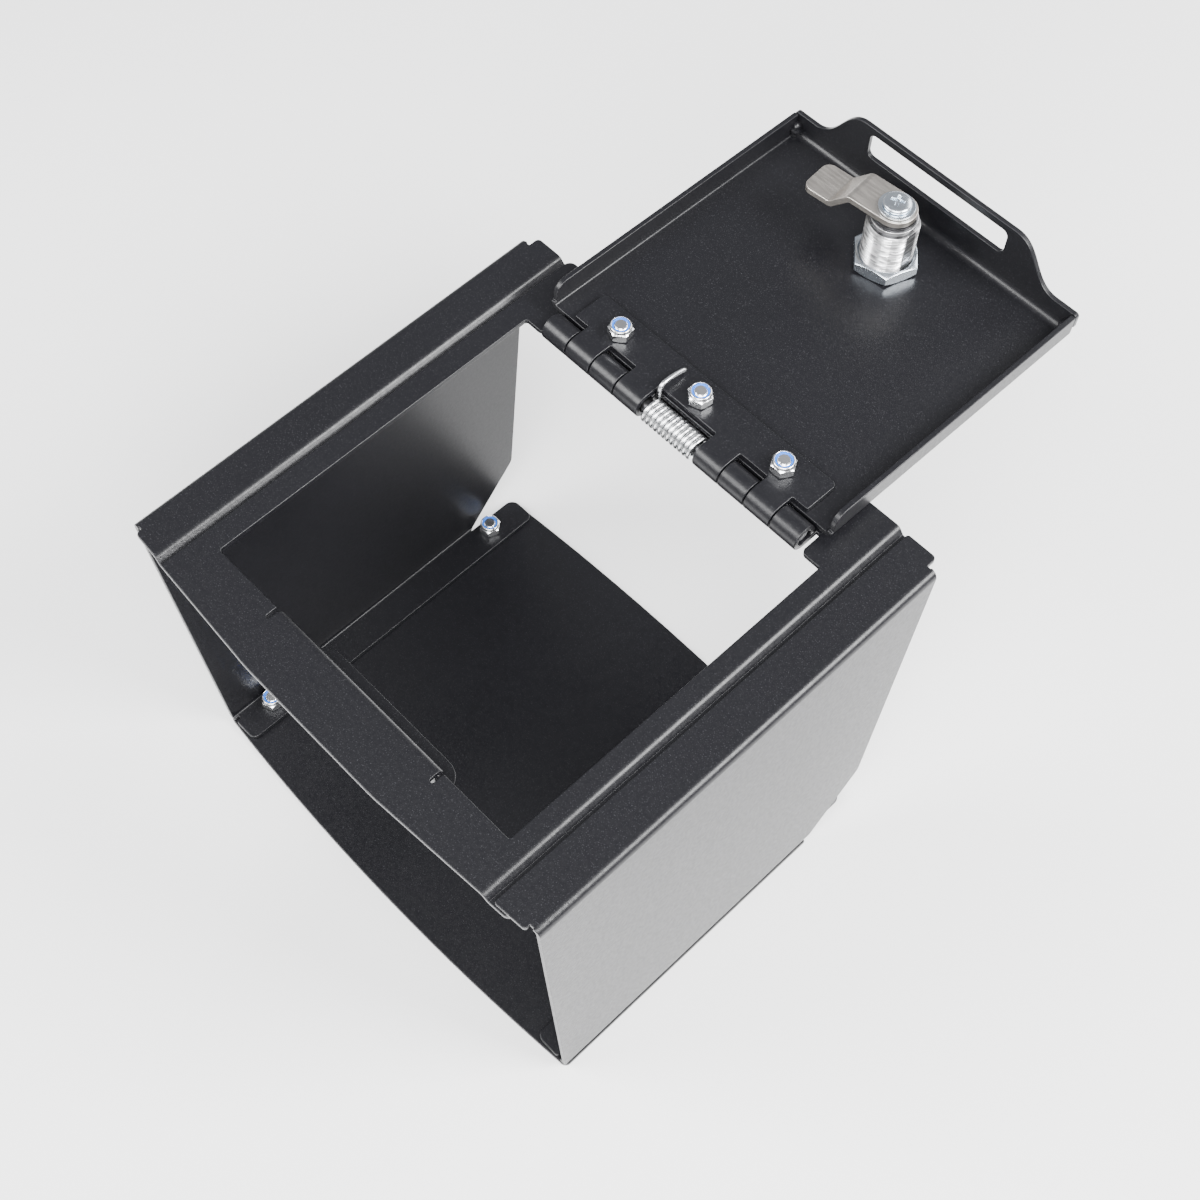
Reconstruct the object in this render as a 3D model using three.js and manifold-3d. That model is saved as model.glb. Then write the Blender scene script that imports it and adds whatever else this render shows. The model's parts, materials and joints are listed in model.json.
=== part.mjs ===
// Console safe of folded steel sheet, shown with its lid open.
// Millimetres, +Z up, +Y to the rear, origin at the centre of the floor plate's underside.

import * as THREE from 'three';
import { mergeVertices } from 'three/addons/utils/BufferGeometryUtils.js';
import Module from 'manifold-3d';

const wasm = await Module();
wasm.setup();

// Driving dimensions of the box
const sheet = 2;
const bendRadius = 1;
const seat = 0.3;
const boxWidth = 195;
const boxHeight = 157;
const floorDepth = 150;
const floorFrontBulge = 4.5;
const floorRearBulge = 4;
const wallFrontLean = 7;
const wallRearLean = 16.7;
const wallFootInset = 23.5;
const wallChamferReach = 2;
const wallChamferTop = 30;
const wallChamferRadius = 6;
const sideFlangeWidth = 15.5;
const topFlangeFrontReach = 2;
const topFlangeRearReach = 4.3;
const flangeCornerRadius = 3;
const floorFlangeRadius = 8;
const reliefWidth = 1.6;
const reliefDepth = 0.8;

// Driving dimensions of the top frame
const openingInset = 28.2;
const openingFront = -68.1;
const openingRear = 66.9;
const bandFront = -85.9;
const bandFrontBulge = 3.8;
const bandBulgeFlat = 18;
const bandBulgeFoot = 52;
const bandRear = 96.5;
const bandCornerRadius = 6;
const lapWidth = 7.5;
const joggleRun = 3;
const joggleEase = 1;
const leftSeamInset = 20.1;
const rightSeamInset = 17.2;

// Driving dimensions of the strike tab
const strikeWidth = 77;
const strikeSlitWidth = 1.5;
const strikeSlitDepth = 4.6;
const strikeFace = -67;
const strikeDrop = 28.5;
const strikeLipWidth = 71;
const strikeLipReach = 10;
const strikeNose = 2.4;
const strikeNoseTurn = 14;
const strikeLipRadius = 9;
const strikeSlotPlay = 1.2;

// Driving dimensions of the hinge
const knuckleRadius = 5;
const hingeAxisY = 69.9;
const hingeAxisRise = 3;
const hingeInset = 9.5;
const springBay = 26;
const knucklePlay = 0.4;
const pinRadius = 2.7;
const knuckleTipAngle = 25;
const notchDepth = 9.2;
const notchPlay = 1.5;
const leafWidth = 109;
const leafReach = 20.4;
const leafPlay = 1;
const pinRecess = 0.4;
const openDroop = 2.2;

// Driving dimensions of the torsion spring
const springWire = 1.4;
const springMeanRadius = 4.8;
const springPitch = 1.92;
const springTurns = 12;
const springLidLeg = 17;
const springFrameLeg = 15;
const springLegRun = 3.5;

// Driving dimensions of the lid
const lidSidePlay = 3.5;
const lidDepth = 124.5;
const lidBend = 5;
const lidSideHeight = 8.5;
const lidSideStart = 1;
const lidSideRadius = 5;
const lidRearPlay = 0.4;
const flangeShoulder = 8.8;
const flangeHeight = 25.6;
const flangeTopHalf = 34;
const flangeFootHalf = 56;
const flangeSlotWidth = 63;
const flangeSlotBottom = 12;
const flangeSlotTop = 22.5;
const flangeSlotRadius = 2.5;

// Driving dimensions of the fasteners, with threads at their pitch diameter
const threadRadius = 2.24;
const holeRadius = 2.75;
const nutAcrossFlats = 8;
const nutHexHeight = 3.4;
const nutHeight = 4.8;
const nutCollarRadius = 3.85;
const nutRecessRadius = 3.35;
const ringInnerRadius = 2.42;
const fitPlay = 0.18;
const studTip = 1.2;
const studHeadRadius = 3.9;
const studHeadHeight = 1.4;
const studInset = 7.7;
const studFront = -59;
const studRear = 58;
const boltSpacing = 38;
const boltInset = 6.4;
const boltHeadRadius = 4.75;
const boltHeadHeight = 2.5;

// Driving dimensions of the cam lock
const lockInset = 99.5;
const barrelRadius = 9.5;
const barrelFlats = 17.2;
const barrelTop = 23.2;
const lockHeadRadius = 11.5;
const lockHeadHeight = 3;
const plugRadius = 6;
const plugPlay = 0.25;
const lockNutFlats = 22;
const lockNutHeight = 4.8;
const stopHeight = 1.1;
const lockTurn = 90;
const stopTab = 40;
const stopSlack = 2;
const stopDiscRadius = 7.2;
const stopThickness = 0.8;
const squareFlats = 6.4;
const squareRadius = 4;
const camThickness = 2.4;
const camWidth = 15;
const camLength = 34.5;
const camCrankStart = 15;
const camCrankEnd = 20;
const camCrankDrop = 6;
const camTipRadius = 3.5;
const camRestTurn = 5;
const camWasherRadius = 6.5;
const camWasherHeight = 0.8;
const screwRadius = 1.8;
const screwHeadRadius = 5;
const screwHeadHeight = 2;
const screwLength = 9;
const keywayWidth = 1.8;
const keywayHeight = 7.5;
const keywayDepth = 6;

// Facets
const arcStep = 18;
const knuckleStep = 20;
const roundSides = 32;
const smallSides = 18;
const nutSides = 24;
const curlSteps = 8;
const wireSides = 5;

// Sizes that follow from the driving dimensions
const halfBox = boxWidth / 2;
const studX = halfBox - studInset;
const leftSeam = leftSeamInset - halfBox;
const rightSeam = halfBox - rightSeamInset;
const outerBend = bendRadius + sheet;
const openingWidth = boxWidth - 2 * openingInset;
const lidWidth = openingWidth - 2 * lidSidePlay;
const knuckleWidth = (openingWidth / 2 - hingeInset - springBay / 2) / 4;
const wallTopFront = -floorDepth / 2 - wallFrontLean;
const wallTopRear = floorDepth / 2 + wallRearLean;
const topFlangeFront = wallTopFront - topFlangeFrontReach;
const topFlangeRear = wallTopRear + topFlangeRearReach;
const floorFlangeBottom = sheet + seat;
const hingeAxisZ = boxHeight + hingeAxisRise;
const boreRadius = knuckleRadius - sheet;
const lapTop = boxHeight - sheet - seat;
const lidRear = knuckleRadius + lidRearPlay;
const lidInner = boreRadius - seat;
const flangeFaceS = lidDepth - sheet;
const strikeLipTop = boxHeight - strikeDrop;
const barrelEndStop = barrelTop + stopHeight;
const stopRecess = lockTurn + stopTab + 2 * stopSlack;
const stopBottom = barrelTop + seat;
const camBottom = stopBottom + stopThickness + seat;
const camTop = camBottom + camThickness;
const camWasherBottom = camTop + seat;
const screwHeadBottom = camWasherBottom + camWasherHeight + seat;

// Geometry helpers

const radians = THREE.MathUtils.degToRad;

// Points of an arc, in equal steps no larger than stepDegrees.
function arcPoints(centreX, centreY, radius, fromDegrees, toDegrees, stepDegrees = arcStep) {
  const steps = Math.max(1, Math.ceil(Math.abs(toDegrees - fromDegrees) / stepDegrees - 1e-6));
  const points = [];
  for (let i = 0; i <= steps; i += 1) {
    const angle = radians(fromDegrees + ((toDegrees - fromDegrees) * i) / steps);
    points.push(new THREE.Vector2(centreX + radius * Math.cos(angle), centreY + radius * Math.sin(angle)));
  }
  return points;
}

// Points of a full circle, without a repeated end.
function circlePoints(centreX, centreY, radius, sides = smallSides) {
  return arcPoints(centreX, centreY, radius, 0, 360, 360 / sides).slice(0, -1);
}

// One corner [x, y, radius] between its neighbours, as the points of its fillet.
function filletPoints(before, corner, after) {
  const here = new THREE.Vector2(corner[0], corner[1]);
  const radius = corner[2] || 0;
  const toBefore = new THREE.Vector2(before[0], before[1]).sub(here).normalize();
  const toAfter = new THREE.Vector2(after[0], after[1]).sub(here).normalize();
  const half = Math.acos(THREE.MathUtils.clamp(toBefore.dot(toAfter), -1, 1)) / 2;
  if (radius === 0 || half > Math.PI / 2 - 1e-4) {
    return [here];
  }
  const reach = radius / Math.tan(half);
  const start = here.clone().addScaledVector(toBefore, reach);
  const end = here.clone().addScaledVector(toAfter, reach);
  const bisector = toBefore.clone().add(toAfter).normalize();
  const centre = here.clone().addScaledVector(bisector, radius / Math.sin(half));
  const from = THREE.MathUtils.radToDeg(Math.atan2(start.y - centre.y, start.x - centre.x));
  const to = THREE.MathUtils.radToDeg(Math.atan2(end.y - centre.y, end.x - centre.x));
  const turn = THREE.MathUtils.euclideanModulo(to - from + 180, 360) - 180;
  return arcPoints(centre.x, centre.y, radius, from, from + turn);
}

// A closed outline through corners given as [x, y] or [x, y, radius].
function outline(corners) {
  const count = corners.length;
  const points = corners.flatMap((corner, i) =>
    filletPoints(corners[(i + count - 1) % count], corner, corners[(i + 1) % count]));
  return new THREE.Shape(points);
}

// The section of a bent sheet: a path of [x, y, bend radius] at mid-thickness, offset to both sides.
function sheetSection(path, thickness = sheet) {
  const side = (sign) => path.map((corner, i) => {
    const before = path[Math.max(i - 1, 0)];
    const after = path[Math.min(i + 1, path.length - 1)];
    const incoming = new THREE.Vector2(corner[0] - before[0], corner[1] - before[1]).normalize();
    const outgoing = new THREE.Vector2(after[0] - corner[0], after[1] - corner[1]).normalize();
    const first = i === 0 ? outgoing : incoming;
    const last = i === path.length - 1 ? incoming : outgoing;
    const normal = new THREE.Vector2(-first.y - last.y, first.x + last.x).normalize();
    const mitre = normal.dot(new THREE.Vector2(-first.y, first.x));
    const reach = (sign * thickness) / 2 / mitre;
    const turn = Math.sign(first.x * last.y - first.y * last.x);
    const radius = corner[2] ? Math.max(corner[2] - (turn * sign * thickness) / 2, 0) : 0;
    return [corner[0] + normal.x * reach, corner[1] + normal.y * reach, radius];
  });
  return outline([...side(1), ...side(-1).reverse()]);
}

// Turns a closed geometry into a solid that can be joined and cut.
function solid(geometry) {
  const bare = geometry.index ? geometry.toNonIndexed() : geometry.clone();
  bare.deleteAttribute('normal');
  bare.deleteAttribute('uv');
  const merged = mergeVertices(bare, 1e-4);
  return new wasm.Manifold(new wasm.Mesh({
    numProp: 3,
    vertProperties: new Float32Array(merged.attributes.position.array),
    triVerts: new Uint32Array(merged.index.array),
  }));
}

// Extrusions of a shape along each axis. The shape's own axes are the other two, in X, Y, Z order.
function alongZ(shape, low, high) {
  const geometry = new THREE.ExtrudeGeometry(shape, { depth: high - low, bevelEnabled: false });
  return solid(geometry.translate(0, 0, low));
}

function alongX(shape, low, high) {
  const geometry = new THREE.ExtrudeGeometry(shape, { depth: high - low, bevelEnabled: false });
  const turn = new THREE.Matrix4().makeBasis(
    new THREE.Vector3(0, 1, 0), new THREE.Vector3(0, 0, 1), new THREE.Vector3(1, 0, 0));
  return solid(geometry.applyMatrix4(turn).translate(low, 0, 0));
}

function alongY(shape, low, high) {
  const geometry = new THREE.ExtrudeGeometry(shape, { depth: high - low, bevelEnabled: false });
  const turn = new THREE.Matrix4().makeBasis(
    new THREE.Vector3(1, 0, 0), new THREE.Vector3(0, 0, 1), new THREE.Vector3(0, -1, 0));
  return solid(geometry.applyMatrix4(turn).translate(0, high, 0));
}

// A box between two corners.
function block(low, high) {
  const size = new THREE.Vector3(...high).sub(new THREE.Vector3(...low));
  const middle = new THREE.Vector3(...low).addScaledVector(size, 0.5);
  return solid(new THREE.BoxGeometry(size.x, size.y, size.z).translate(middle.x, middle.y, middle.z));
}

// A turned piece: its profile of [radius, height] points runs from the axis back to the axis.
function turned(profile, x, y, sides = roundSides) {
  const points = profile.map(([radius, height]) => new THREE.Vector2(radius, height));
  const geometry = new THREE.LatheGeometry(points, sides).rotateX(Math.PI / 2);
  return solid(geometry.translate(x, y, 0));
}

// A hexagon with its flats a given distance apart.
function hexagon(x, y, acrossFlats, turnDegrees = 0) {
  const radius = acrossFlats / 2 / Math.cos(Math.PI / 6);
  return new THREE.Shape(arcPoints(x, y, radius, turnDegrees, turnDegrees + 360, 60).slice(0, -1));
}

// A circle cut by two parallel flats. Unturned, the flats face the front and the rear.
function flattenedCircle(x, y, radius, acrossFlats, turnDegrees = 0) {
  const angle = THREE.MathUtils.radToDeg(Math.asin(acrossFlats / 2 / radius));
  const opposite = turnDegrees + 180;
  return new THREE.Shape([
    ...arcPoints(x, y, radius, turnDegrees - angle, turnDegrees + angle, 12),
    ...arcPoints(x, y, radius, opposite - angle, opposite + angle, 12),
  ]);
}

// Finishes
const powderCoat = { color: 0x2c2c30, roughness: 0.55, metalness: 0.3 };
const brightZinc = { color: 0xc9ccd0, roughness: 0.3, metalness: 0.9 };
const blueNylon = { color: 0x1f5fc4, roughness: 0.5, metalness: 0 };
const springSteel = { color: 0xb9bbbe, roughness: 0.35, metalness: 0.9 };
const camSteel = { color: 0x9a948c, roughness: 0.4, metalness: 0.85 };
const chromePlate = { color: 0xd4d6d9, roughness: 0.15, metalness: 1 };

// A named mesh from a solid.
function piece(name, finish, body) {
  const { vertProperties, triVerts, numProp } = body.getMesh();
  const geometry = new THREE.BufferGeometry();
  const count = vertProperties.length / numProp;
  const positions = new Float32Array(count * 3);
  for (let i = 0; i < count; i += 1) {
    positions.set(vertProperties.subarray(i * numProp, i * numProp + 3), i * 3);
  }
  geometry.setAttribute('position', new THREE.BufferAttribute(positions, 3));
  geometry.setIndex(new THREE.BufferAttribute(new Uint32Array(triVerts), 1));
  geometry.computeVertexNormals();
  const mesh = new THREE.Mesh(geometry, new THREE.MeshStandardMaterial({ ...finish, flatShading: true }));
  mesh.name = name;
  return mesh;
}

// Side panels: a wall with a flange at its top and its foot, folded towards the middle

function wallOutline() {
  return outline([
    [-floorDepth / 2, sheet],
    [floorDepth / 2 - wallFootInset, sheet],
    [floorDepth / 2 + wallChamferReach, wallChamferTop, wallChamferRadius],
    [wallTopRear, boxHeight + sheet],
    [wallTopFront, boxHeight + sheet],
  ]);
}

function sidePanel(sign, topPath) {
  const mid = halfBox - sheet / 2;
  const bend = bendRadius + sheet / 2;
  const flangeEnd = halfBox - sideFlangeWidth;
  const path = [
    [sign * flangeEnd, floorFlangeBottom + sheet / 2],
    [sign * mid, floorFlangeBottom + sheet / 2, bend],
    [sign * mid, boxHeight - sheet / 2, bend],
    ...topPath,
  ];
  const section = alongY(sheetSection(path), topFlangeFront, topFlangeRear);
  const span = (near, far) => [Math.min(sign * near, sign * far), Math.max(sign * near, sign * far)];
  const wallZone = alongX(wallOutline(), ...span(halfBox - outerBend, halfBox + sheet));
  const inner = sign * (halfBox - outerBend);
  const topZone = alongZ(outline([
    [inner, topFlangeFront, flangeCornerRadius + reliefWidth],
    [0, topFlangeFront],
    [0, topFlangeRear],
    [inner, topFlangeRear, flangeCornerRadius + reliefWidth],
  ]), boxHeight - 3 * sheet, boxHeight + sheet);
  const footZone = alongZ(outline([
    [inner, -floorDepth / 2],
    [sign * flangeEnd, -floorDepth / 2, flangeCornerRadius],
    [sign * flangeEnd, floorDepth / 2, flangeCornerRadius],
    [inner, floorDepth / 2, floorFlangeRadius],
  ]), 0, 3 * sheet);
  let panel = section.intersect(wallZone.add(topZone).add(footZone));
  for (const [endY, reach, low, high] of [
    [topFlangeFront, topFlangeFrontReach + reliefDepth, boxHeight - outerBend, boxHeight + sheet],
    [topFlangeRear, topFlangeRearReach + reliefDepth, boxHeight - outerBend, boxHeight + sheet],
    [-floorDepth / 2, sheet, floorFlangeBottom - sheet, floorFlangeBottom + outerBend],
  ]) {
    const [reliefLow, reliefHigh] = span(halfBox - outerBend - reliefWidth, halfBox - outerBend);
    panel = panel.subtract(block([reliefLow, endY - reach, low], [reliefHigh, endY + reach, high]));
  }
  for (const y of [studFront, studRear]) {
    panel = panel.subtract(alongZ(new THREE.Shape(circlePoints(sign * studX, y, holeRadius)), 0, 3 * sheet));
  }
  return panel;
}

function leftPanel() {
  const lapMid = lapTop - sheet / 2;
  const joggleOuter = leftSeam - joggleRun - joggleEase;
  return sidePanel(-1, [
    [joggleOuter, boxHeight - sheet / 2, bendRadius + sheet / 2],
    [joggleOuter + joggleRun, lapMid, bendRadius + sheet / 2],
    [leftSeam + lapWidth - joggleEase, lapMid],
  ]);
}

function rightPanel() {
  return sidePanel(1, [[rightSeam + seat, boxHeight - sheet / 2]]);
}

// Top frame: the flat band, its lap, the strike tab and the rolled hinge knuckles

// Ends of the frame's knuckles along the pin, counted outwards from the spring bay, mirrored.
function knuckleEnds(order) {
  const near = springBay / 2 + order * knuckleWidth + knucklePlay / 2;
  return [near, near + knuckleWidth - knucklePlay];
}

// A rolled knuckle's section round the pin, with a flat tail towards the rear. Roll +1 curls up, -1 down.
function knuckleSection(roll, tail) {
  const round = (radius, from, to) => arcPoints(0, 0, radius, from, to, knuckleStep)
    .map((point) => new THREE.Vector2(point.x, -roll * point.y));
  const tip = 360 + knuckleTipAngle;
  return new THREE.Shape([
    new THREE.Vector2(tail, -roll * knuckleRadius),
    ...round(knuckleRadius, 90, tip),
    ...round(boreRadius, tip, 90),
    new THREE.Vector2(tail, -roll * boreRadius),
  ]);
}

function bandOutline(right) {
  return outline([
    [leftSeam, bandFront + 2, 1],
    [leftSeam + 2, bandFront],
    [-bandBulgeFoot, bandFront],
    [-bandBulgeFlat, bandFront - bandFrontBulge],
    [bandBulgeFlat, bandFront - bandFrontBulge],
    [bandBulgeFoot, bandFront],
    [right, bandFront, 1],
    [right, bandRear, bandCornerRadius],
    [leftSeam, bandRear, flangeCornerRadius],
  ]);
}

function openingOutline() {
  const halfOpening = openingWidth / 2;
  const halfStrike = strikeWidth / 2;
  const slitFront = openingFront - strikeSlitDepth;
  const halfNotch = knuckleEnds(3)[1] + notchPlay;
  const notchRear = openingRear + notchDepth;
  return outline([
    [-halfOpening, openingFront, 1],
    [-halfStrike - strikeSlitWidth, openingFront],
    [-halfStrike - strikeSlitWidth, slitFront],
    [-halfStrike, slitFront],
    [-halfStrike, strikeFace - sheet - bendRadius],
    [halfStrike, strikeFace - sheet - bendRadius],
    [halfStrike, slitFront],
    [halfStrike + strikeSlitWidth, slitFront],
    [halfStrike + strikeSlitWidth, openingFront],
    [halfOpening, openingFront, 1],
    [halfOpening, openingRear, 1],
    [halfNotch, openingRear],
    [halfNotch, notchRear],
    [-halfNotch, notchRear],
    [-halfNotch, openingRear],
    [-halfOpening, openingRear, 1],
  ]);
}

// The strike's slot is level with the cam of the closed lid.
function strikeSlot() {
  const closedInner = hingeAxisZ - lidInner;
  const top = closedInner - flangeSlotBottom - strikeSlotPlay;
  const bottom = closedInner - flangeSlotTop - strikeSlotPlay / 2;
  const half = flangeSlotWidth / 2;
  return alongY(outline([
    [-half, bottom, flangeSlotRadius],
    [half, bottom, flangeSlotRadius],
    [half, top, flangeSlotRadius],
    [-half, top, flangeSlotRadius],
  ]), strikeFace - 2 * sheet, strikeFace + sheet);
}

function strikeTab() {
  const bend = bendRadius + sheet / 2;
  const wallMid = strikeFace - sheet / 2;
  const lipMid = strikeLipTop - sheet / 2;
  const lipEnd = strikeFace + strikeLipReach;
  const noseStart = lipEnd - strikeNose;
  const noseDrop = strikeNose * Math.tan(radians(strikeNoseTurn));
  const section = alongX(sheetSection([
    [strikeFace - sheet - bendRadius - 1, boxHeight - sheet / 2],
    [wallMid, boxHeight - sheet / 2, bend],
    [wallMid, lipMid, bend],
    [noseStart, lipMid],
    [lipEnd, lipMid - noseDrop],
  ]), -strikeWidth / 2, strikeWidth / 2);
  const halfTab = strikeWidth / 2;
  const halfLip = strikeLipWidth / 2;
  const low = strikeLipTop - 3 * sheet;
  const wallTrim = block([-halfTab, strikeFace - 3 * sheet, boxHeight - outerBend - sheet],
    [halfTab, strikeFace + sheet, boxHeight + sheet]);
  const lowerTrim = alongZ(outline([
    [-halfLip, strikeFace - 3 * sheet],
    [halfLip, strikeFace - 3 * sheet],
    [halfLip, lipEnd, strikeLipRadius],
    [-halfLip, lipEnd, strikeLipRadius],
  ]), low, boxHeight - outerBend);
  return section.intersect(wallTrim.add(lowerTrim)).subtract(strikeSlot());
}

function topFrame() {
  const bandRight = rightSeam - joggleRun - joggleEase;
  const shape = bandOutline(bandRight);
  shape.holes.push(new THREE.Path(openingOutline().getPoints()));
  const band = alongZ(shape, boxHeight - sheet, boxHeight);
  const lap = alongY(sheetSection([
    [bandRight - 1, boxHeight - sheet / 2],
    [bandRight, boxHeight - sheet / 2, bendRadius + sheet / 2],
    [bandRight + joggleRun, lapTop - sheet / 2, bendRadius + sheet / 2],
    [rightSeam + lapWidth + joggleEase, lapTop - sheet / 2],
  ]), bandFront, bandRear - bandCornerRadius);
  let frame = band.add(lap).add(strikeTab());
  const curl = knuckleSection(1, openingRear + notchDepth + 1 - hingeAxisY);
  for (const order of [1, 3]) {
    const [near, far] = knuckleEnds(order);
    for (const [low, high] of [[near, far], [-far, -near]]) {
      const roll = alongX(new THREE.Shape(curl.getPoints().map((point) =>
        new THREE.Vector2(point.x + hingeAxisY, point.y + hingeAxisZ))), low, high);
      frame = frame.add(roll);
    }
  }
  return frame;
}

// Floor plate with shallow arcs at its front and rear edges, and pockets for the flush studs

function floorEdge(bulge, end) {
  const steps = 12;
  const points = [];
  for (let i = 1; i < steps; i += 1) {
    const x = -halfBox + (boxWidth * i) / steps;
    points.push([x, end + bulge * (1 - (x / halfBox) ** 2)]);
  }
  return points;
}

function floorPlate() {
  const half = floorDepth / 2;
  const shape = outline([
    [-halfBox, -half, flangeCornerRadius],
    ...floorEdge(-floorFrontBulge, -half),
    [halfBox, -half, flangeCornerRadius],
    [halfBox, half, flangeCornerRadius],
    ...floorEdge(floorRearBulge, half).reverse(),
    [-halfBox, half, flangeCornerRadius],
  ]);
  let plate = alongZ(shape, 0, sheet);
  for (const [x, y] of studPlaces()) {
    plate = plate.subtract(turned([
      [0, -1],
      [studHeadRadius + fitPlay, -1],
      [studHeadRadius + fitPlay, studHeadHeight + fitPlay],
      [threadRadius + fitPlay, studHeadHeight + fitPlay],
      [threadRadius + fitPlay, sheet + 1],
      [0, sheet + 1],
    ], x, y, smallSides));
  }
  return plate;
}

function studPlaces() {
  return [[-studX, studFront], [studX, studFront], [-studX, studRear], [studX, studRear]];
}

function floorStud(x, y) {
  const top = floorFlangeBottom + sheet + seat + nutHeight + studTip;
  return turned([
    [0, 0],
    [studHeadRadius, 0],
    [studHeadRadius, studHeadHeight],
    [threadRadius, studHeadHeight],
    [threadRadius, top - 0.5],
    [threadRadius - 0.5, top],
    [0, top],
  ], x, y, smallSides);
}

// Lock nut with a round collar that holds a nylon ring

function lockNutM5(x, y, base) {
  const chamfer = turned([
    [0, base],
    [nutAcrossFlats / 2, base],
    [nutAcrossFlats / 2 + 0.8, base + 0.5],
    [nutAcrossFlats / 2 + 0.8, base + nutHexHeight - 0.5],
    [nutCollarRadius, base + nutHexHeight],
    [0, base + nutHexHeight],
  ], x, y, nutSides);
  const hexagonal = alongZ(hexagon(x, y, nutAcrossFlats), base, base + nutHexHeight).intersect(chamfer);
  const collar = turned([
    [0, base + nutHexHeight - 1],
    [nutCollarRadius, base + nutHexHeight - 1],
    [nutCollarRadius, base + nutHeight - 0.5],
    [nutRecessRadius + 0.1, base + nutHeight],
    [0, base + nutHeight],
  ], x, y, nutSides);
  const bore = turned([
    [0, base - 1],
    [threadRadius + fitPlay, base - 1],
    [threadRadius + fitPlay, base + nutHexHeight],
    [nutRecessRadius, base + nutHexHeight],
    [nutRecessRadius, base + nutHeight + 1],
    [0, base + nutHeight + 1],
  ], x, y, nutSides);
  return hexagonal.add(collar).subtract(bore);
}

function nylonRing(x, y, base) {
  const low = base + nutHexHeight + fitPlay;
  const high = base + nutHeight - fitPlay;
  const outer = nutRecessRadius - fitPlay;
  return turned([
    [ringInnerRadius, low],
    [outer, low],
    [outer, high],
    [ringInnerRadius, high],
    [ringInnerRadius, low],
  ], x, y, nutSides);
}

// Hinge pin, held in the outer frame knuckles

function hingePin() {
  const half = knuckleEnds(3)[1] - pinRecess;
  const chamfer = 0.5;
  const geometry = new THREE.LatheGeometry([
    new THREE.Vector2(0, -half),
    new THREE.Vector2(pinRadius - chamfer, -half),
    new THREE.Vector2(pinRadius, -half + chamfer),
    new THREE.Vector2(pinRadius, half - chamfer),
    new THREE.Vector2(pinRadius - chamfer, half),
    new THREE.Vector2(0, half),
  ], 24).rotateZ(-Math.PI / 2);
  return solid(geometry.translate(0, hingeAxisY, hingeAxisZ));
}

// Torsion spring: one unbroken wire. It lies on the lid's leaf, drops behind the pin, winds under and
// over it while it moves to the right, and goes down behind the pin again to end under the rear band.
function springPath() {
  const wireRadius = springWire / 2;
  const halfCoil = (springTurns * springPitch) / 2;
  const leafTop = knuckleRadius + seat + wireRadius;
  const bandUnder = -hingeAxisRise - sheet - seat - wireRadius;
  const point = (x, y, z) => new THREE.Vector3(x, hingeAxisY + y, hingeAxisZ + z);
  const onLeaf = (y) => point(-halfCoil, y, leafTop + lidLegDrop(y));
  const path = [
    onLeaf(springLidLeg),
    onLeaf(springLidLeg - springWire),
    onLeaf(springMeanRadius + springLegRun),
    point(-halfCoil, springMeanRadius + springLegRun / 3, leafTop - wireRadius / 2),
    point(-halfCoil, springMeanRadius, leafTop - springLegRun / 2),
    point(-halfCoil, springMeanRadius, wireRadius),
  ];
  const steps = Math.round(springTurns * curlSteps);
  for (let i = 0; i <= steps; i += 1) {
    const turn = (springTurns * i) / steps;
    const angle = -turn * 2 * Math.PI;
    path.push(point(springPitch * turn - halfCoil, springMeanRadius * Math.cos(angle),
      springMeanRadius * Math.sin(angle)));
  }
  path.push(point(halfCoil, springMeanRadius, -wireRadius));
  path.push(point(halfCoil, springMeanRadius, bandUnder + springLegRun / 2));
  path.push(point(halfCoil, springMeanRadius + springLegRun / 3, bandUnder + wireRadius / 2));
  path.push(point(halfCoil, springMeanRadius + springLegRun, bandUnder));
  path.push(point(halfCoil, springFrameLeg - springWire, bandUnder));
  path.push(point(halfCoil, springFrameLeg, bandUnder));
  return path;
}

// Fall of the drooping leaf's top at a distance behind the pin.
function lidLegDrop(distance) {
  return -distance * Math.sin(radians(openDroop));
}

// A wire along a path: rings of points square to it, stitched side by side and closed at both ends.
function wireGeometry(path, radius, sides) {
  const axis = new THREE.Vector3(1, 0, 0);
  const positions = [];
  const indices = [];
  path.forEach((here, i) => {
    const before = path[Math.max(i - 1, 0)];
    const after = path[Math.min(i + 1, path.length - 1)];
    const tangent = after.clone().sub(before).normalize();
    const across = new THREE.Vector3().crossVectors(axis, tangent).normalize();
    const side = new THREE.Vector3().crossVectors(tangent, across);
    for (let j = 0; j < sides; j += 1) {
      const angle = (2 * Math.PI * j) / sides;
      const point = here.clone()
        .addScaledVector(across, radius * Math.cos(angle))
        .addScaledVector(side, radius * Math.sin(angle));
      positions.push(point.x, point.y, point.z);
    }
  });
  const rings = path.length;
  for (let i = 0; i + 1 < rings; i += 1) {
    for (let j = 0; j < sides; j += 1) {
      const next = (j + 1) % sides;
      const a = i * sides + j;
      const b = i * sides + next;
      indices.push(a, b, b + sides, a, b + sides, a + sides);
    }
  }
  const last = (rings - 1) * sides;
  for (let j = 1; j + 1 < sides; j += 1) {
    indices.push(0, j + 1, j, last, last + j, last + j + 1);
  }
  const geometry = new THREE.BufferGeometry();
  geometry.setAttribute('position', new THREE.BufferAttribute(new Float32Array(positions), 3));
  geometry.setIndex(indices);
  return geometry;
}

// Least distance between points of the wire that are at least half a turn apart.
function leastGap(geometry, sides) {
  const place = geometry.attributes.position;
  const away = (curlSteps / 2) * sides;
  let least = Infinity;
  for (let i = 0; i < place.count; i += 1) {
    for (let j = i + away; j < place.count; j += 1) {
      const gap = Math.hypot(place.getX(i) - place.getX(j), place.getY(i) - place.getY(j),
        place.getZ(i) - place.getZ(j));
      least = Math.min(least, gap);
    }
  }
  return least;
}

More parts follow.
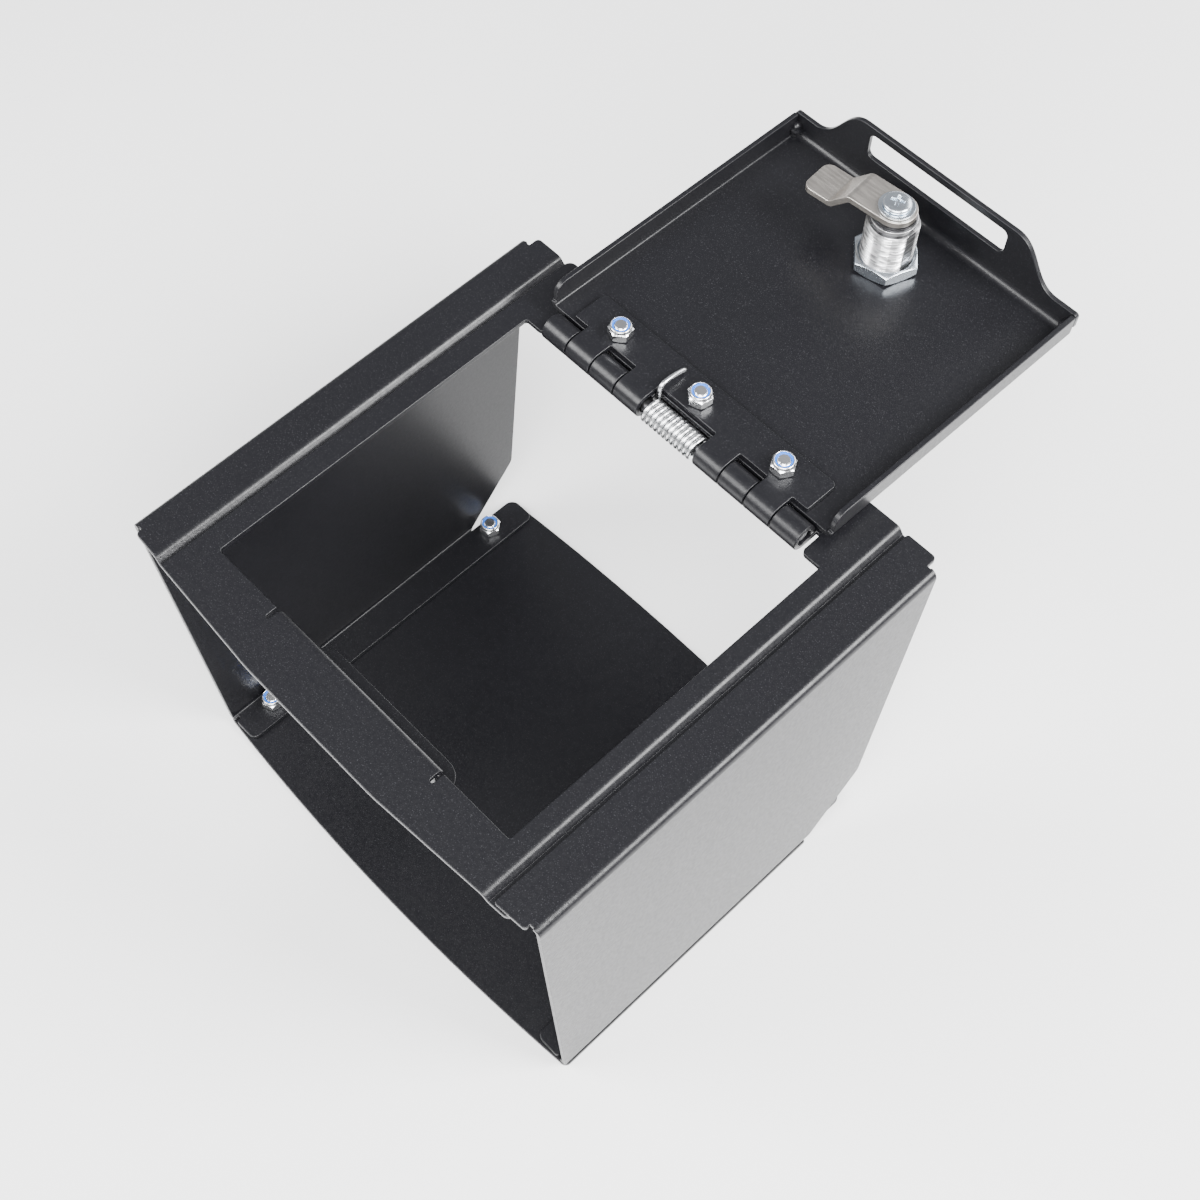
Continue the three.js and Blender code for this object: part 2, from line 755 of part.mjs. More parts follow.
function hingeSpring() {
  const geometry = wireGeometry(springPath(), springWire / 2, wireSides);
  console.log(`hinge spring: least gap to itself ${leastGap(geometry, wireSides).toFixed(3)} mm`);
  return solid(geometry);
}

// Lid, in its own frame: x across, y from the pin's axis towards the lid's front flange when open,
// z up when open. The tray's inner face looks up.

function trayBlock(inset, rearReach) {
  const half = lidWidth / 2 - inset;
  const bottom = lidInner - sheet + inset;
  const high = lidInner + flangeHeight + sheet;
  const sideBend = inset ? bendRadius : outerBend;
  const frontBend = inset ? lidBend - sheet : lidBend;
  const front = lidRear + lidDepth - inset;
  const across = alongY(outline([
    [-half, bottom, sideBend],
    [half, bottom, sideBend],
    [half, high],
    [-half, high],
  ]), lidRear - rearReach, front + sheet);
  const lengthways = alongX(outline([
    [lidRear - rearReach, bottom],
    [front, bottom, frontBend],
    [front, high],
    [lidRear - rearReach, high],
  ]), -half - sheet, half + sheet);
  return across.intersect(lengthways);
}

// Outline of the front flange: low shoulders that rise in an S-curve to the tall middle.
function flangeOutline() {
  const shoulder = lidInner + flangeShoulder;
  const top = lidInner + flangeHeight;
  const bottom = lidInner - 2 * sheet;
  const edge = lidWidth / 2 + 1;
  const middle = (flangeTopHalf + flangeFootHalf) / 2;
  const rise = new THREE.CubicBezierCurve(
    new THREE.Vector2(flangeFootHalf, shoulder),
    new THREE.Vector2(middle, shoulder),
    new THREE.Vector2(middle, top),
    new THREE.Vector2(flangeTopHalf, top),
  ).getPoints(12);
  const fall = rise.map((point) => new THREE.Vector2(-point.x, point.y)).reverse();
  return new THREE.Shape([
    new THREE.Vector2(-edge, bottom),
    new THREE.Vector2(edge, bottom),
    new THREE.Vector2(edge, shoulder),
    ...rise,
    ...fall,
    new THREE.Vector2(-edge, shoulder),
  ]);
}

function lidTray() {
  const shell = trayBlock(0, 0).subtract(trayBlock(sheet, 2 * sheet));
  const flangeFace = lidRear + flangeFaceS;
  const front = alongY(flangeOutline(), flangeFace, flangeFace + 2 * sheet);
  const bottom = lidInner - 2 * sheet;
  const sideTop = lidInner + lidSideHeight;
  const sideStart = lidRear + lidSideStart;
  const sides = alongX(outline([
    [sideStart, lidInner - sheet],
    [flangeFace + 0.5, lidInner - sheet],
    [flangeFace + 0.5, sideTop],
    [sideStart, sideTop, lidSideRadius],
  ]), -lidWidth, lidWidth);
  const half = lidWidth / 2;
  const base = alongZ(outline([
    [-half - 1, lidRear],
    [half + 1, lidRear],
    [half + 1, lidRear + lidDepth],
    [-half - 1, lidRear + lidDepth],
  ]), bottom, lidInner);
  let tray = shell.intersect(front.add(sides).add(base));
  const halfSlot = flangeSlotWidth / 2;
  tray = tray.subtract(alongY(outline([
    [-halfSlot, lidInner + flangeSlotBottom, flangeSlotRadius],
    [halfSlot, lidInner + flangeSlotBottom, flangeSlotRadius],
    [halfSlot, lidInner + flangeSlotTop, flangeSlotRadius],
    [-halfSlot, lidInner + flangeSlotTop, flangeSlotRadius],
  ]), flangeFace - sheet, flangeFace + 2 * sheet));
  for (const x of boltPlaces()) {
    tray = tray.subtract(boltHole(x));
  }
  const lockHole = barrelOutline(fitPlay);
  return tray.subtract(alongZ(lockHole, bottom, lidInner + sheet));
}

function boltPlaces() {
  return [-boltSpacing, 0, boltSpacing];
}

function boltHole(x) {
  return alongZ(new THREE.Shape(circlePoints(x, lidRear + boltInset, holeRadius)),
    lidInner - 2 * sheet, boreRadius + 2 * sheet);
}

// Hinge leaf: a plate on the lid's inner face whose four tongues roll down round the pin.
function hingeLeaf() {
  const half = leafWidth / 2;
  const plateRear = knuckleRadius + leafPlay;
  let leaf = alongZ(outline([
    [-half, plateRear],
    [half, plateRear],
    [half, leafReach, 2],
    [-half, leafReach, 2],
  ]), boreRadius, knuckleRadius);
  const curl = knuckleSection(-1, plateRear + 1);
  for (const order of [0, 2]) {
    const [near, far] = knuckleEnds(order);
    leaf = leaf.add(alongX(curl, near, far)).add(alongX(curl, -far, -near));
  }
  for (const x of boltPlaces()) {
    leaf = leaf.subtract(boltHole(x));
  }
  return leaf;
}

// Round-headed bolt through lid and leaf, head on the lid's outer face.
function hingeBolt(x) {
  const under = lidInner - sheet - seat;
  const top = knuckleRadius + seat + nutHeight + studTip;
  const crown = arcPoints(0, 0, 1, 0, 90, arcStep).map((point) =>
    [boltHeadRadius * point.y, under - 0.4 - (boltHeadHeight - 0.4) * point.x]);
  return turned([
    ...crown.map(([radius, height], i) => (i === 0 ? [0, height] : [radius, height])),
    [boltHeadRadius, under],
    [threadRadius, under],
    [threadRadius, top - 0.5],
    [threadRadius - 0.5, top],
    [0, top],
  ], x, lidRear + boltInset, smallSides);
}

// Cam lock

// The barrel's flats face the lid's sides and keep the lock from turning in its hole.
function barrelOutline(play) {
  return flattenedCircle(0, lidRear + lockInset, barrelRadius + play, barrelFlats + 2 * play, 90);
}

function lockHousing() {
  const y = lidRear + lockInset;
  const outer = lidInner - sheet - seat;
  const head = turned([
    [0, outer - lockHeadHeight],
    [lockHeadRadius - 1.2, outer - lockHeadHeight],
    [lockHeadRadius, outer - lockHeadHeight + 1.2],
    [lockHeadRadius, outer],
    [0, outer],
  ], 0, y);
  const barrel = alongZ(barrelOutline(0), outer - 0.5, lidInner + barrelTop);
  const lugInner = stopDiscRadius + plugPlay;
  const lugOuter = barrelFlats / 2 - 0.1;
  const from = 90 + stopRecess / 2;
  const lug = alongZ(new THREE.Shape([
    ...arcPoints(0, y, lugOuter, from, from + 360 - stopRecess, 12),
    ...arcPoints(0, y, lugInner, from + 360 - stopRecess, from, 12),
  ]), lidInner + barrelTop - 0.5, lidInner + barrelEndStop);
  const bore = alongZ(new THREE.Shape(circlePoints(0, y, plugRadius + plugPlay, roundSides)),
    outer - lockHeadHeight - 1, lidInner + barrelTop + 1);
  return head.add(barrel).subtract(bore).add(lug);
}

function lockNut() {
  const y = lidRear + lockInset;
  const low = lidInner + seat;
  const high = low + lockNutHeight;
  const rim = lockNutFlats / 2;
  const chamfer = turned([
    [0, low],
    [rim, low],
    [rim + 2, low + 1.1],
    [rim + 2, high - 1.1],
    [rim, high],
    [0, high],
  ], 0, y);
  const hole = alongZ(new THREE.Shape(circlePoints(0, y, barrelRadius + fitPlay, roundSides)), low - 1, high + 1);
  return alongZ(hexagon(0, y, lockNutFlats, 12), low, high).intersect(chamfer).subtract(hole);
}

// The pieces that turn are drawn round the lock's own axis, with z counted from the lid's inner face.

function lockPlug() {
  const outer = -sheet - seat - lockHeadHeight + seat;
  const core = alongZ(new THREE.Shape(circlePoints(0, 0, plugRadius, roundSides)), outer, barrelTop);
  const end = alongZ(flattenedCircle(0, 0, squareRadius, squareFlats), barrelTop - 1, camTop - 0.3);
  const keyway = block([-keywayWidth / 2, -keywayHeight / 2, outer - 1],
    [keywayWidth / 2, keywayHeight / 2, outer + keywayDepth]);
  const thread = alongZ(new THREE.Shape(circlePoints(0, 0, screwRadius + fitPlay)),
    screwHeadBottom - screwLength - 1, camTop + 1);
  return core.add(end).subtract(keyway).subtract(thread);
}

function driveHole(low, high) {
  return alongZ(flattenedCircle(0, 0, squareRadius + fitPlay, squareFlats + 2 * fitPlay), low - 1, high + 1);
}

function stopWasher() {
  const high = stopBottom + stopThickness;
  const disc = alongZ(new THREE.Shape(circlePoints(0, 0, stopDiscRadius, roundSides)), stopBottom, high);
  const reach = barrelFlats / 2 - 0.1;
  const tabMiddle = 90 + lockTurn / 2;
  const tab = alongZ(new THREE.Shape([
    new THREE.Vector2(0, 0),
    ...arcPoints(0, 0, reach, tabMiddle - stopTab / 2, tabMiddle + stopTab / 2, 10),
  ]), stopBottom, high);
  return disc.add(tab).subtract(driveHole(stopBottom, high));
}

// Cranked cam: a flat round end on the plug, a step down towards the lid, and a paddle. It points to +x here.
function lockCam() {
  const mid = camTop - camThickness / 2;
  const path = alongY(sheetSection([
    [-camWidth, mid],
    [camCrankStart, mid, camThickness / 2 + 0.6],
    [camCrankEnd, mid - camCrankDrop, camThickness / 2 + 0.6],
    [camLength, mid - camCrankDrop],
  ], camThickness), -camWidth / 2, camWidth / 2);
  const half = camWidth / 2;
  const plan = alongZ(new THREE.Shape([
    ...arcPoints(0, 0, half, 90, 270, 12),
    ...arcPoints(camLength - camTipRadius, -half + camTipRadius, camTipRadius, -90, 0, arcStep),
    ...arcPoints(camLength - camTipRadius, half - camTipRadius, camTipRadius, 0, 90, arcStep),
  ]), camBottom - 2 * camCrankDrop, camTop + 1);
  return path.intersect(plan).subtract(driveHole(camBottom, camTop));
}

function camWasher() {
  const low = camWasherBottom;
  const high = low + camWasherHeight;
  const hole = alongZ(new THREE.Shape(circlePoints(0, 0, screwRadius + fitPlay)), low - 1, high + 1);
  return turned([[0, low], [camWasherRadius, low], [camWasherRadius, high], [0, high]], 0, 0).subtract(hole);
}

function camScrew() {
  const low = screwHeadBottom;
  const crown = arcPoints(0, 0, 1, 0, 90, arcStep).map((point) =>
    [screwHeadRadius * point.x, low + 0.6 + (screwHeadHeight - 0.6) * point.y]);
  const body = turned([
    [0, low - screwLength],
    [screwRadius - 0.4, low - screwLength],
    [screwRadius, low - screwLength + 0.4],
    [screwRadius, low],
    [screwHeadRadius, low],
    ...crown.slice(0, -1),
    [0, low + screwHeadHeight],
  ], 0, 0, 24);
  const reach = screwHeadRadius * 0.5;
  const wide = 0.5;
  const drive = block([-reach, -wide, low + 0.7], [reach, wide, low + screwHeadHeight + 1])
    .add(block([-wide, -reach, low + 0.7], [wide, reach, low + screwHeadHeight + 1]));
  return body.subtract(drive);
}

// Assembly
const safe = new THREE.Group();
safe.add(piece('left_side_panel', powderCoat, leftPanel()));
safe.add(piece('right_side_panel', powderCoat, rightPanel()));
safe.add(piece('top_frame', powderCoat, topFrame()));
safe.add(piece('floor_plate', powderCoat, floorPlate()));
studPlaces().forEach(([x, y], i) => {
  const nutBase = floorFlangeBottom + sheet + seat;
  safe.add(piece(`floor_stud_${i + 1}`, brightZinc, floorStud(x, y)));
  safe.add(piece(`floor_nut_${i + 1}`, brightZinc, lockNutM5(x, y, nutBase)));
  safe.add(piece(`floor_nut_ring_${i + 1}`, blueNylon, nylonRing(x, y, nutBase)));
});
safe.add(piece('hinge_pin', springSteel, hingePin()));
safe.add(piece('hinge_spring', springSteel, hingeSpring()));

const lid = new THREE.Group();
lid.position.set(0, hingeAxisY, hingeAxisZ);
lid.rotation.x = -radians(openDroop);
lid.add(piece('lid_tray', powderCoat, lidTray()));
lid.add(piece('hinge_leaf', powderCoat, hingeLeaf()));
boltPlaces().forEach((x, i) => {
  const y = lidRear + boltInset;
  const nutBase = knuckleRadius + seat;
  lid.add(piece(`hinge_bolt_${i + 1}`, brightZinc, hingeBolt(x)));
  lid.add(piece(`hinge_nut_${i + 1}`, brightZinc, lockNutM5(x, y, nutBase)));
  lid.add(piece(`hinge_nut_ring_${i + 1}`, blueNylon, nylonRing(x, y, nutBase)));
});
lid.add(piece('lock_housing', chromePlate, lockHousing()));
lid.add(piece('lock_nut', brightZinc, lockNut()));

const lock = new THREE.Group();
lock.position.set(0, lidRear + lockInset, lidInner);
lock.add(piece('lock_plug', chromePlate, lockPlug()));
lock.add(piece('stop_washer', brightZinc, stopWasher()));
const cam = piece('lock_cam', camSteel, lockCam());
cam.rotation.z = Math.PI + radians(camRestTurn);
lock.add(cam);
lock.add(piece('cam_washer', brightZinc, camWasher()));
lock.add(piece('cam_screw', brightZinc, camScrew()));
lid.add(lock);
safe.add(lid);

export default safe;
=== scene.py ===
"""Console safe of folded steel sheet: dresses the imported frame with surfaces, finishes and a plain studio."""

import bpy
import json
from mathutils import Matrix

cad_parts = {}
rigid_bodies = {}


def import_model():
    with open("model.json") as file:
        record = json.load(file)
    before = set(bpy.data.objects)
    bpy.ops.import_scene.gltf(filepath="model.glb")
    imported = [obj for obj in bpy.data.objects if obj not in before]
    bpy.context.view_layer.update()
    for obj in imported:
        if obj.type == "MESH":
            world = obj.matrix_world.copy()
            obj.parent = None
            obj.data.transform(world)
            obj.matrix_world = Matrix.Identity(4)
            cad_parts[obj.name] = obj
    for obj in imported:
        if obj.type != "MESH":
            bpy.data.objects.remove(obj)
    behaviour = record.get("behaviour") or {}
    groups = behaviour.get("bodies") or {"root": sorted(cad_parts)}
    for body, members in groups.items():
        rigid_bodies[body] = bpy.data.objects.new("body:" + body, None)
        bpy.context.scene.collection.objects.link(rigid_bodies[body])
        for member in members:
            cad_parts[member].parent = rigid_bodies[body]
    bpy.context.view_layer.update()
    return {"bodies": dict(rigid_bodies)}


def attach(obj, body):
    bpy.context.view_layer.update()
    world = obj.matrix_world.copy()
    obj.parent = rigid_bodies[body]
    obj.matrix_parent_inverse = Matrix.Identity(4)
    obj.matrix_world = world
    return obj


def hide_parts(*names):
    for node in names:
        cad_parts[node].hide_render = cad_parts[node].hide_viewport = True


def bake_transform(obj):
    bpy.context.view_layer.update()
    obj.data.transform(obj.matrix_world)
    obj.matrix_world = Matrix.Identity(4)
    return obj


bl_info = {
    "name": "Console Safe",
    "version": (1, 0, 0),
    "blender": (4, 5, 0),
    "location": "View3D > Sidebar > Safe",
    "description": "Builds the folded sheet, fasteners, spring, cam lock and studio of a console safe",
    "category": "Object",
}

import json
import math

import bpy
import numpy as np
from bpy.props import FloatProperty, FloatVectorProperty, IntProperty, PointerProperty
from bpy.types import Operator, Panel, PropertyGroup
from mathutils import Matrix, Vector
from mathutils.geometry import delaunay_2d_cdt

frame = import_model()


# Sizes in millimetres that the pieces share and a user would leave alone

BEND = 2.0                 # bend radius at mid-thickness
SEAT = 0.3                 # gap between sheets that lie on each other
FLOOR_FRONT_BULGE, FLOOR_REAR_BULGE = 4.5, 4.0
WALL_FRONT_LEAN, WALL_REAR_LEAN, WALL_REAR_SKEW = 7.0, 16.7, 1.1
WALL_FOOT_INSET, CHAMFER_REACH, CHAMFER_TOP = 23.5, 2.0, 30.0
SIDE_FLANGE = 15.5
FLANGE_FRONT_REACH, FLANGE_REAR_REACH, FLANGE_SLOPE = 1.8, 4.1, 0.07
RELIEF, RELIEF_DEPTH = 1.4, 0.4
OPENING_FRONT, OPENING_REAR = -68.1, 66.9
BAND_FRONT, BAND_REAR, BAND_BULGE = -85.3, 96.5, 3.3
BULGE_FLAT = 30.0
LAP = 7.0
LEFT_JOGGLE, RIGHT_JOGGLE, JOGGLE_RUN, JOGGLE_FOOT = 4.2, 4.0, 2.2, 1.25
LEFT_SEAM_INSET, RIGHT_SEAM_INSET = 19.5, 17.2
STRIKE_WIDTH, STRIKE_LIP_WIDTH = 77.0, 71.0
SLIT_WIDTH, SLIT_DEPTH = 1.5, 4.6
STRIKE_FACE, STRIKE_DROP, STRIKE_LIP, STRIKE_NOSE = -67.0, 28.5, 10.0, 2.4
HINGE_Y, HINGE_RISE = 69.9, 3.0
KNUCKLE_PITCH, KNUCKLE_GAP = 11.7, 0.4
ROLL_TURN = 295.0
NOTCH_DEPTH, NOTCH_PLAY = 9.2, 1.5
LEAF_WIDTH, LEAF_REACH, LEAF_START = 109.0, 20.4, 6.0
OPEN_DROOP = 2.2
LID_REAR_PLAY, LID_BEND = 0.4, 4.0
SIDE_START, SIDE_HEIGHT = 1.0, 8.5
FLANGE_SHOULDER, FLANGE_HEIGHT = 8.8, 25.6
FLANGE_TOP, FLANGE_FOOT = 34.0, 56.0
SLOT_WIDTH, SLOT_LOW, SLOT_HIGH, SLOT_RADIUS = 63.0, 12.0, 22.5, 2.5
STUD_INSET, STUD_FRONT, STUD_REAR = 7.7, -59.0, 58.0
BOLT_SPACING, BOLT_INSET = 38.0, 6.4
HOLE, STUD_HEAD_HOLE = 2.75, 4.08
NUT_FLATS, NUT_HEX, NUT_HEIGHT, NUT_COLLAR, NUT_RECESS = 8.0, 3.4, 4.8, 3.85, 3.35
NUT_BORE, NUT_LEAD = 2.42, 2.75
STUD_TIP = 0.1
LOCK_INSET = 99.5
BARREL_FLATS = 17.2
LOCK_HEAD, LOCK_HEAD_HEIGHT = 11.5, 3.0
PLUG, PLUG_BORE = 6.0, 6.25
FIT = 0.18                 # play of a part in its hole, on each side
LOCK_NUT_FLATS, LOCK_NUT_HEIGHT, LOCK_NUT_TURN = 22.0, 4.8, 12.0
STOP_HEIGHT, STOP_DISC, STOP_REACH, STOP_THICKNESS, NECK = 1.1, 7.2, 7.9, 0.8, 2.7
SQUARE, SQUARE_ROUND = 6.4, 4.0
CAM_SHEET, CRANK_START, CRANK_END, CRANK_DROP, CAM_TIP = 2.4, 15.0, 22.0, 7.4, 3.5
CAM_REST = 185.0
CAM_WASHER, CAM_WASHER_HEIGHT = 6.5, 0.8
SCREW_HEAD, SCREW_HEAD_HEIGHT = 5.0, 2.0
WIDE = 500.0               # beyond every blank's edge


def length(title, words, mm):
    """A length that the user sees in the scene's units, from its default in millimetres."""
    return FloatProperty(name=title, description=words, default=mm / 1000, min=0.0001, precision=5,
                         subtype="DISTANCE", unit="LENGTH")


def colour(title, words, rgb):
    """A finish colour."""
    return FloatVectorProperty(name=title, description=words, default=rgb, size=3, min=0, max=1,
                               subtype="COLOR")


class SafeSizes(PropertyGroup):
    """Sizes of the safe."""
    sheet: length("Sheet", "Thickness of the steel sheet", 2.0)
    edge: length("Edge rounding", "Radius that the coat gives to cut edges", 0.36)
    box_width: length("Box width", "Outer width over both side walls", 195.0)
    box_height: length("Box height", "Height of the top sheet's upper face", 157.0)
    floor_depth: length("Floor depth", "Depth of the floor plate at its sides", 150.0)
    opening_width: length("Opening width", "Width of the lid opening", 138.6)
    knuckle: length("Knuckle radius", "Outer radius of the rolled hinge knuckles", 5.0)
    spring_bay: length("Spring bay", "Gap between the two middle knuckles", 26.0)
    pin: length("Pin radius", "Radius of the hinge pin", 2.7)
    wire: length("Spring wire", "Diameter of the spring's wire", 1.7)
    coil: length("Coil radius", "Mean radius of the torsion spring", 4.0)
    coil_pitch: length("Coil pitch", "Advance of the spring for each turn", 1.92)
    coil_turns: IntProperty(name="Coil turns", description="Whole turns of the spring", default=12,
                            min=2, max=24)
    lid_width: length("Lid width", "Width of the lid tray", 131.6)
    lid_depth: length("Lid depth", "Depth of the lid tray", 124.5)
    barrel: length("Barrel radius", "Crest radius of the lock barrel's thread", 9.5)
    barrel_top: length("Barrel height", "Height of the barrel over the lid's inner face", 23.2)
    barrel_pitch: length("Barrel thread pitch", "Pitch of the barrel's thread", 1.25)
    bolt: length("Bolt radius", "Crest radius of the small bolts", 2.48)
    bolt_pitch: length("Bolt thread pitch", "Pitch of the small bolts' thread", 0.8)
    cam_width: length("Cam width", "Width of the cam plate", 15.0)
    cam_length: length("Cam length", "Reach of the cam from the lock's axis", 33.9)


class SafeFinish(PropertyGroup):
    """Colours of the safe's finishes."""
    coat: colour("Coat", "Powder coat on all sheet pieces", (0.0050, 0.0050, 0.0062))
    fleck: colour("Coat fleck", "Lighter grains in the powder coat", (0.032, 0.032, 0.036))
    zinc: colour("Zinc", "Bright zinc on nuts and bolts", (0.92, 0.93, 0.94))
    blue_zinc: colour("Blue zinc", "Bluish zinc on the large nut, washer and screw", (0.84, 0.91, 0.98))
    nylon: colour("Nylon", "Inserts of the lock nuts", (0.02, 0.16, 0.66))
    plating: colour("Lock plating", "Bright plating of the lock", (0.88, 0.88, 0.89))
    cam: colour("Cam", "Brushed steel of the cam", (0.66, 0.62, 0.57))
    # The pin finish also darkens the lock barrel's neck and stop lug, as painted shade.
    pin: colour("Pin", "Drawn steel of the hinge pin and the stop washer", (0.09, 0.09, 0.095))
    ground: colour("Floor", "Plain studio floor", (0.93, 0.93, 0.93))


class Lengths:
    """The user's sizes in millimetres, and the few that follow from them."""

    def __init__(self, context):
        group = context.scene.safe_sizes
        for key in SafeSizes.__annotations__:
            value = getattr(group, key)
            setattr(self, key, value if key == "coil_turns" else value * 1000)
        self.half = self.box_width / 2
        self.left_seam = LEFT_SEAM_INSET - self.half
        self.right_seam = self.half - RIGHT_SEAM_INSET
        self.axis_z = self.box_height + HINGE_RISE
        self.lap_mid = self.box_height - 1.5 * self.sheet - SEAT
        self.bore = self.knuckle - self.sheet
        self.lid_inner = self.bore - SEAT
        self.lid_rear = self.knuckle + LID_REAR_PLAY
        self.stud_x = self.half - STUD_INSET
        self.lock_y = self.lid_rear + LOCK_INSET
        self.nut_base = 2 * self.sheet + 2 * SEAT
        self.stop_low = self.barrel_top + SEAT
        self.cam_low = self.stop_low + STOP_THICKNESS + SEAT
        self.cam_top = self.cam_low + CAM_SHEET

    def lid_frame(self):
        """Lid coordinates, with the sheet lying open, to the part's own."""
        return (Matrix.Translation((0, HINGE_Y, self.axis_z))
                @ Matrix.Rotation(math.radians(-OPEN_DROOP), 4, "X"))

    def lock_frame(self):
        """Coordinates round the lock's axis, counted from the lid's inner face."""
        return self.lid_frame() @ Matrix.Translation((0, self.lock_y, self.lid_inner))


# Flat outlines

def unit(v):
    return v / np.maximum(np.linalg.norm(v, axis=-1, keepdims=True), 1e-12)


def rounded(corners, step=9.0):
    """Closed outline through corners (x, y, radius). A corner with a radius becomes the arc that touches
    both its sides: its centre lies radius / sin(half angle) along the bisector."""
    points = np.array([c[:2] for c in corners], float)
    back = unit(np.roll(points, 1, 0) - points)
    ahead = unit(np.roll(points, -1, 0) - points)
    out = []
    for p, c, b, a in zip(points, corners, back, ahead):
        radius = c[2] if len(c) > 2 else 0.0
        half = math.acos(float(np.clip(b @ a, -1, 1))) / 2
        if radius <= 0 or half > math.pi / 2 - 1e-3:
            out.append(p[None])
            continue
        reach = radius / math.tan(half)
        centre = p + unit(b + a) * radius / math.sin(half)
        start, end = p + b * reach - centre, p + a * reach - centre
        first = math.atan2(start[1], start[0])
        turn = (math.atan2(end[1], end[0]) - first + math.pi) % (2 * math.pi) - math.pi
        angles = first + turn * np.linspace(0, 1, max(2, math.ceil(abs(math.degrees(turn)) / step) + 1))
        out.append(centre + radius * np.stack([np.cos(angles), np.sin(angles)], 1))
    return np.concatenate(out)


def round_hole(x, y, radius, sides=40):
    """Circle taken clockwise, because it is the edge of a hole."""
    angles = -np.linspace(0, 2 * math.pi, sides, endpoint=False)
    return np.stack([x + radius * np.cos(angles), y + radius * np.sin(angles)], 1)


def flat_round(x, y, radius, flats, turn=0.0):
    """Circle cut by two flats that face +y and -y before the turn, taken counter-clockwise."""
    reach = math.asin(min(flats / 2 / radius, 1))
    angles = turn + np.linspace(-reach, reach, 25)
    angles = np.concatenate([angles, angles + math.pi])
    return np.stack([x + radius * np.cos(angles), y + radius * np.sin(angles)], 1)


# Bent sheet: a flat blank with rounded edges, carried through its bends

def bend_path(corners):
    """Middle line of a bent sheet through corners (a, b, radius). Each run is straight or an arc, kept as
    (length so far, a, b, heading, curvature). Also gives the arcs' first and last lengths and turns."""
    runs, arcs = [], []
    far = 0.0
    here = np.array(corners[0][:2], float)
    for i in range(1, len(corners)):
        corner = np.array(corners[i][:2], float)
        way = corner - np.array(corners[i - 1][:2], float)
        heading = math.atan2(way[1], way[0])
        turn = reach = radius = 0.0
        if i + 1 < len(corners):
            onward = np.array(corners[i + 1][:2], float) - corner
            after = math.atan2(onward[1], onward[0])
            turn = (after - heading + math.pi) % (2 * math.pi) - math.pi
            radius = corners[i][2]
            reach = radius * math.tan(abs(turn) / 2)
        run = float(np.linalg.norm(corner - here)) - reach
        runs.append((far, here[0], here[1], heading, 0.0))
        far += run
        here = here + run * np.array([math.cos(heading), math.sin(heading)])
        if turn:
            runs.append((far, here[0], here[1], heading, math.copysign(1 / radius, turn)))
            arcs.append((far, far + radius * abs(turn), turn))
            far += radius * abs(turn)
            here = corner + reach * np.array([math.cos(after), math.sin(after)])
    return np.array(runs), arcs, far


def rolled_path(start, level, radius, turn):
    """Middle line that runs straight from -start to 0 at a level, then turns round the centre (0, 0)."""
    curvature = math.copysign(1 / radius, turn)
    runs = np.array([(-start, -start, level, 0.0, 0.0), (0.0, 0.0, level, 0.0, curvature)])
    return runs, [(0.0, radius * abs(turn), turn)], radius * abs(turn)


def bent(runs, along, across):
    """Point at a length along the middle line and a distance to its left: the run's start, plus its
    straight or arc, plus the distance along the normal."""
    i = np.clip(np.searchsorted(runs[:, 0], along, side="right") - 1, 0, len(runs) - 1)
    gone, head, curve = along - runs[i, 0], runs[i, 3], runs[i, 4]
    facing = head + curve * gone
    straight = curve == 0
    over = np.where(straight, 1.0, curve)
    a = runs[i, 1] + np.where(straight, gone * np.cos(head), (np.sin(facing) - np.sin(head)) / over)
    b = runs[i, 2] + np.where(straight, gone * np.sin(head), (np.cos(head) - np.cos(facing)) / over)
    return a - across * np.sin(facing), b + across * np.cos(facing)


def bend_lines(arcs, axis, low, high, start=0.0, sign=1, step=9.0):
    """Lines across the blank where the sheet bends: (axis, value, low, high), several in each arc."""
    lines = []
    for first, last, turn in arcs:
        count = max(2, math.ceil(abs(math.degrees(turn)) / step))
        lines += [(axis, start + sign * v, low, high) for v in np.linspace(first, last, count + 1)]
    return lines


def split(loop, lines):
    """The loop with one more vertex wherever an edge crosses a bend line."""
    ends = np.roll(loop, -1, 0)
    way = ends - loop
    places = [np.arange(len(loop), dtype=float)]
    for axis, value, low, high in lines:
        run = way[:, axis]
        crossing = np.abs(run) > 1e-9
        t = (value - loop[:, axis]) / np.where(crossing, run, 1.0)
        other = loop[:, 1 - axis] + t * way[:, 1 - axis]
        hit = crossing & (t > 1e-5) & (t < 1 - 1e-5) & (other >= low) & (other <= high)
        places.append(np.nonzero(hit)[0] + t[hit])
    spots = np.unique(np.round(np.concatenate(places), 8))
    index = np.floor(spots).astype(int)
    return loop[index] + way[index] * (spots - index)[:, None]


def inside(points, loops):
    """Even-odd test of points against all loops: how many edges lie to the right of each."""
    count = np.zeros(len(points), int)
    for loop in loops:
        a, b = loop, np.roll(loop, -1, 0)
        y = points[:, 1:2]
        crosses = (a[:, 1] <= y) != (b[:, 1] <= y)
        slope = (b[:, 0] - a[:, 0]) / np.where(b[:, 1] == a[:, 1], 1.0, b[:, 1] - a[:, 1])
        x = a[:, 0] + (y - a[:, 1]) * slope
        count += (crosses & (x > points[:, 0:1])).sum(1)
    return count % 2 == 1


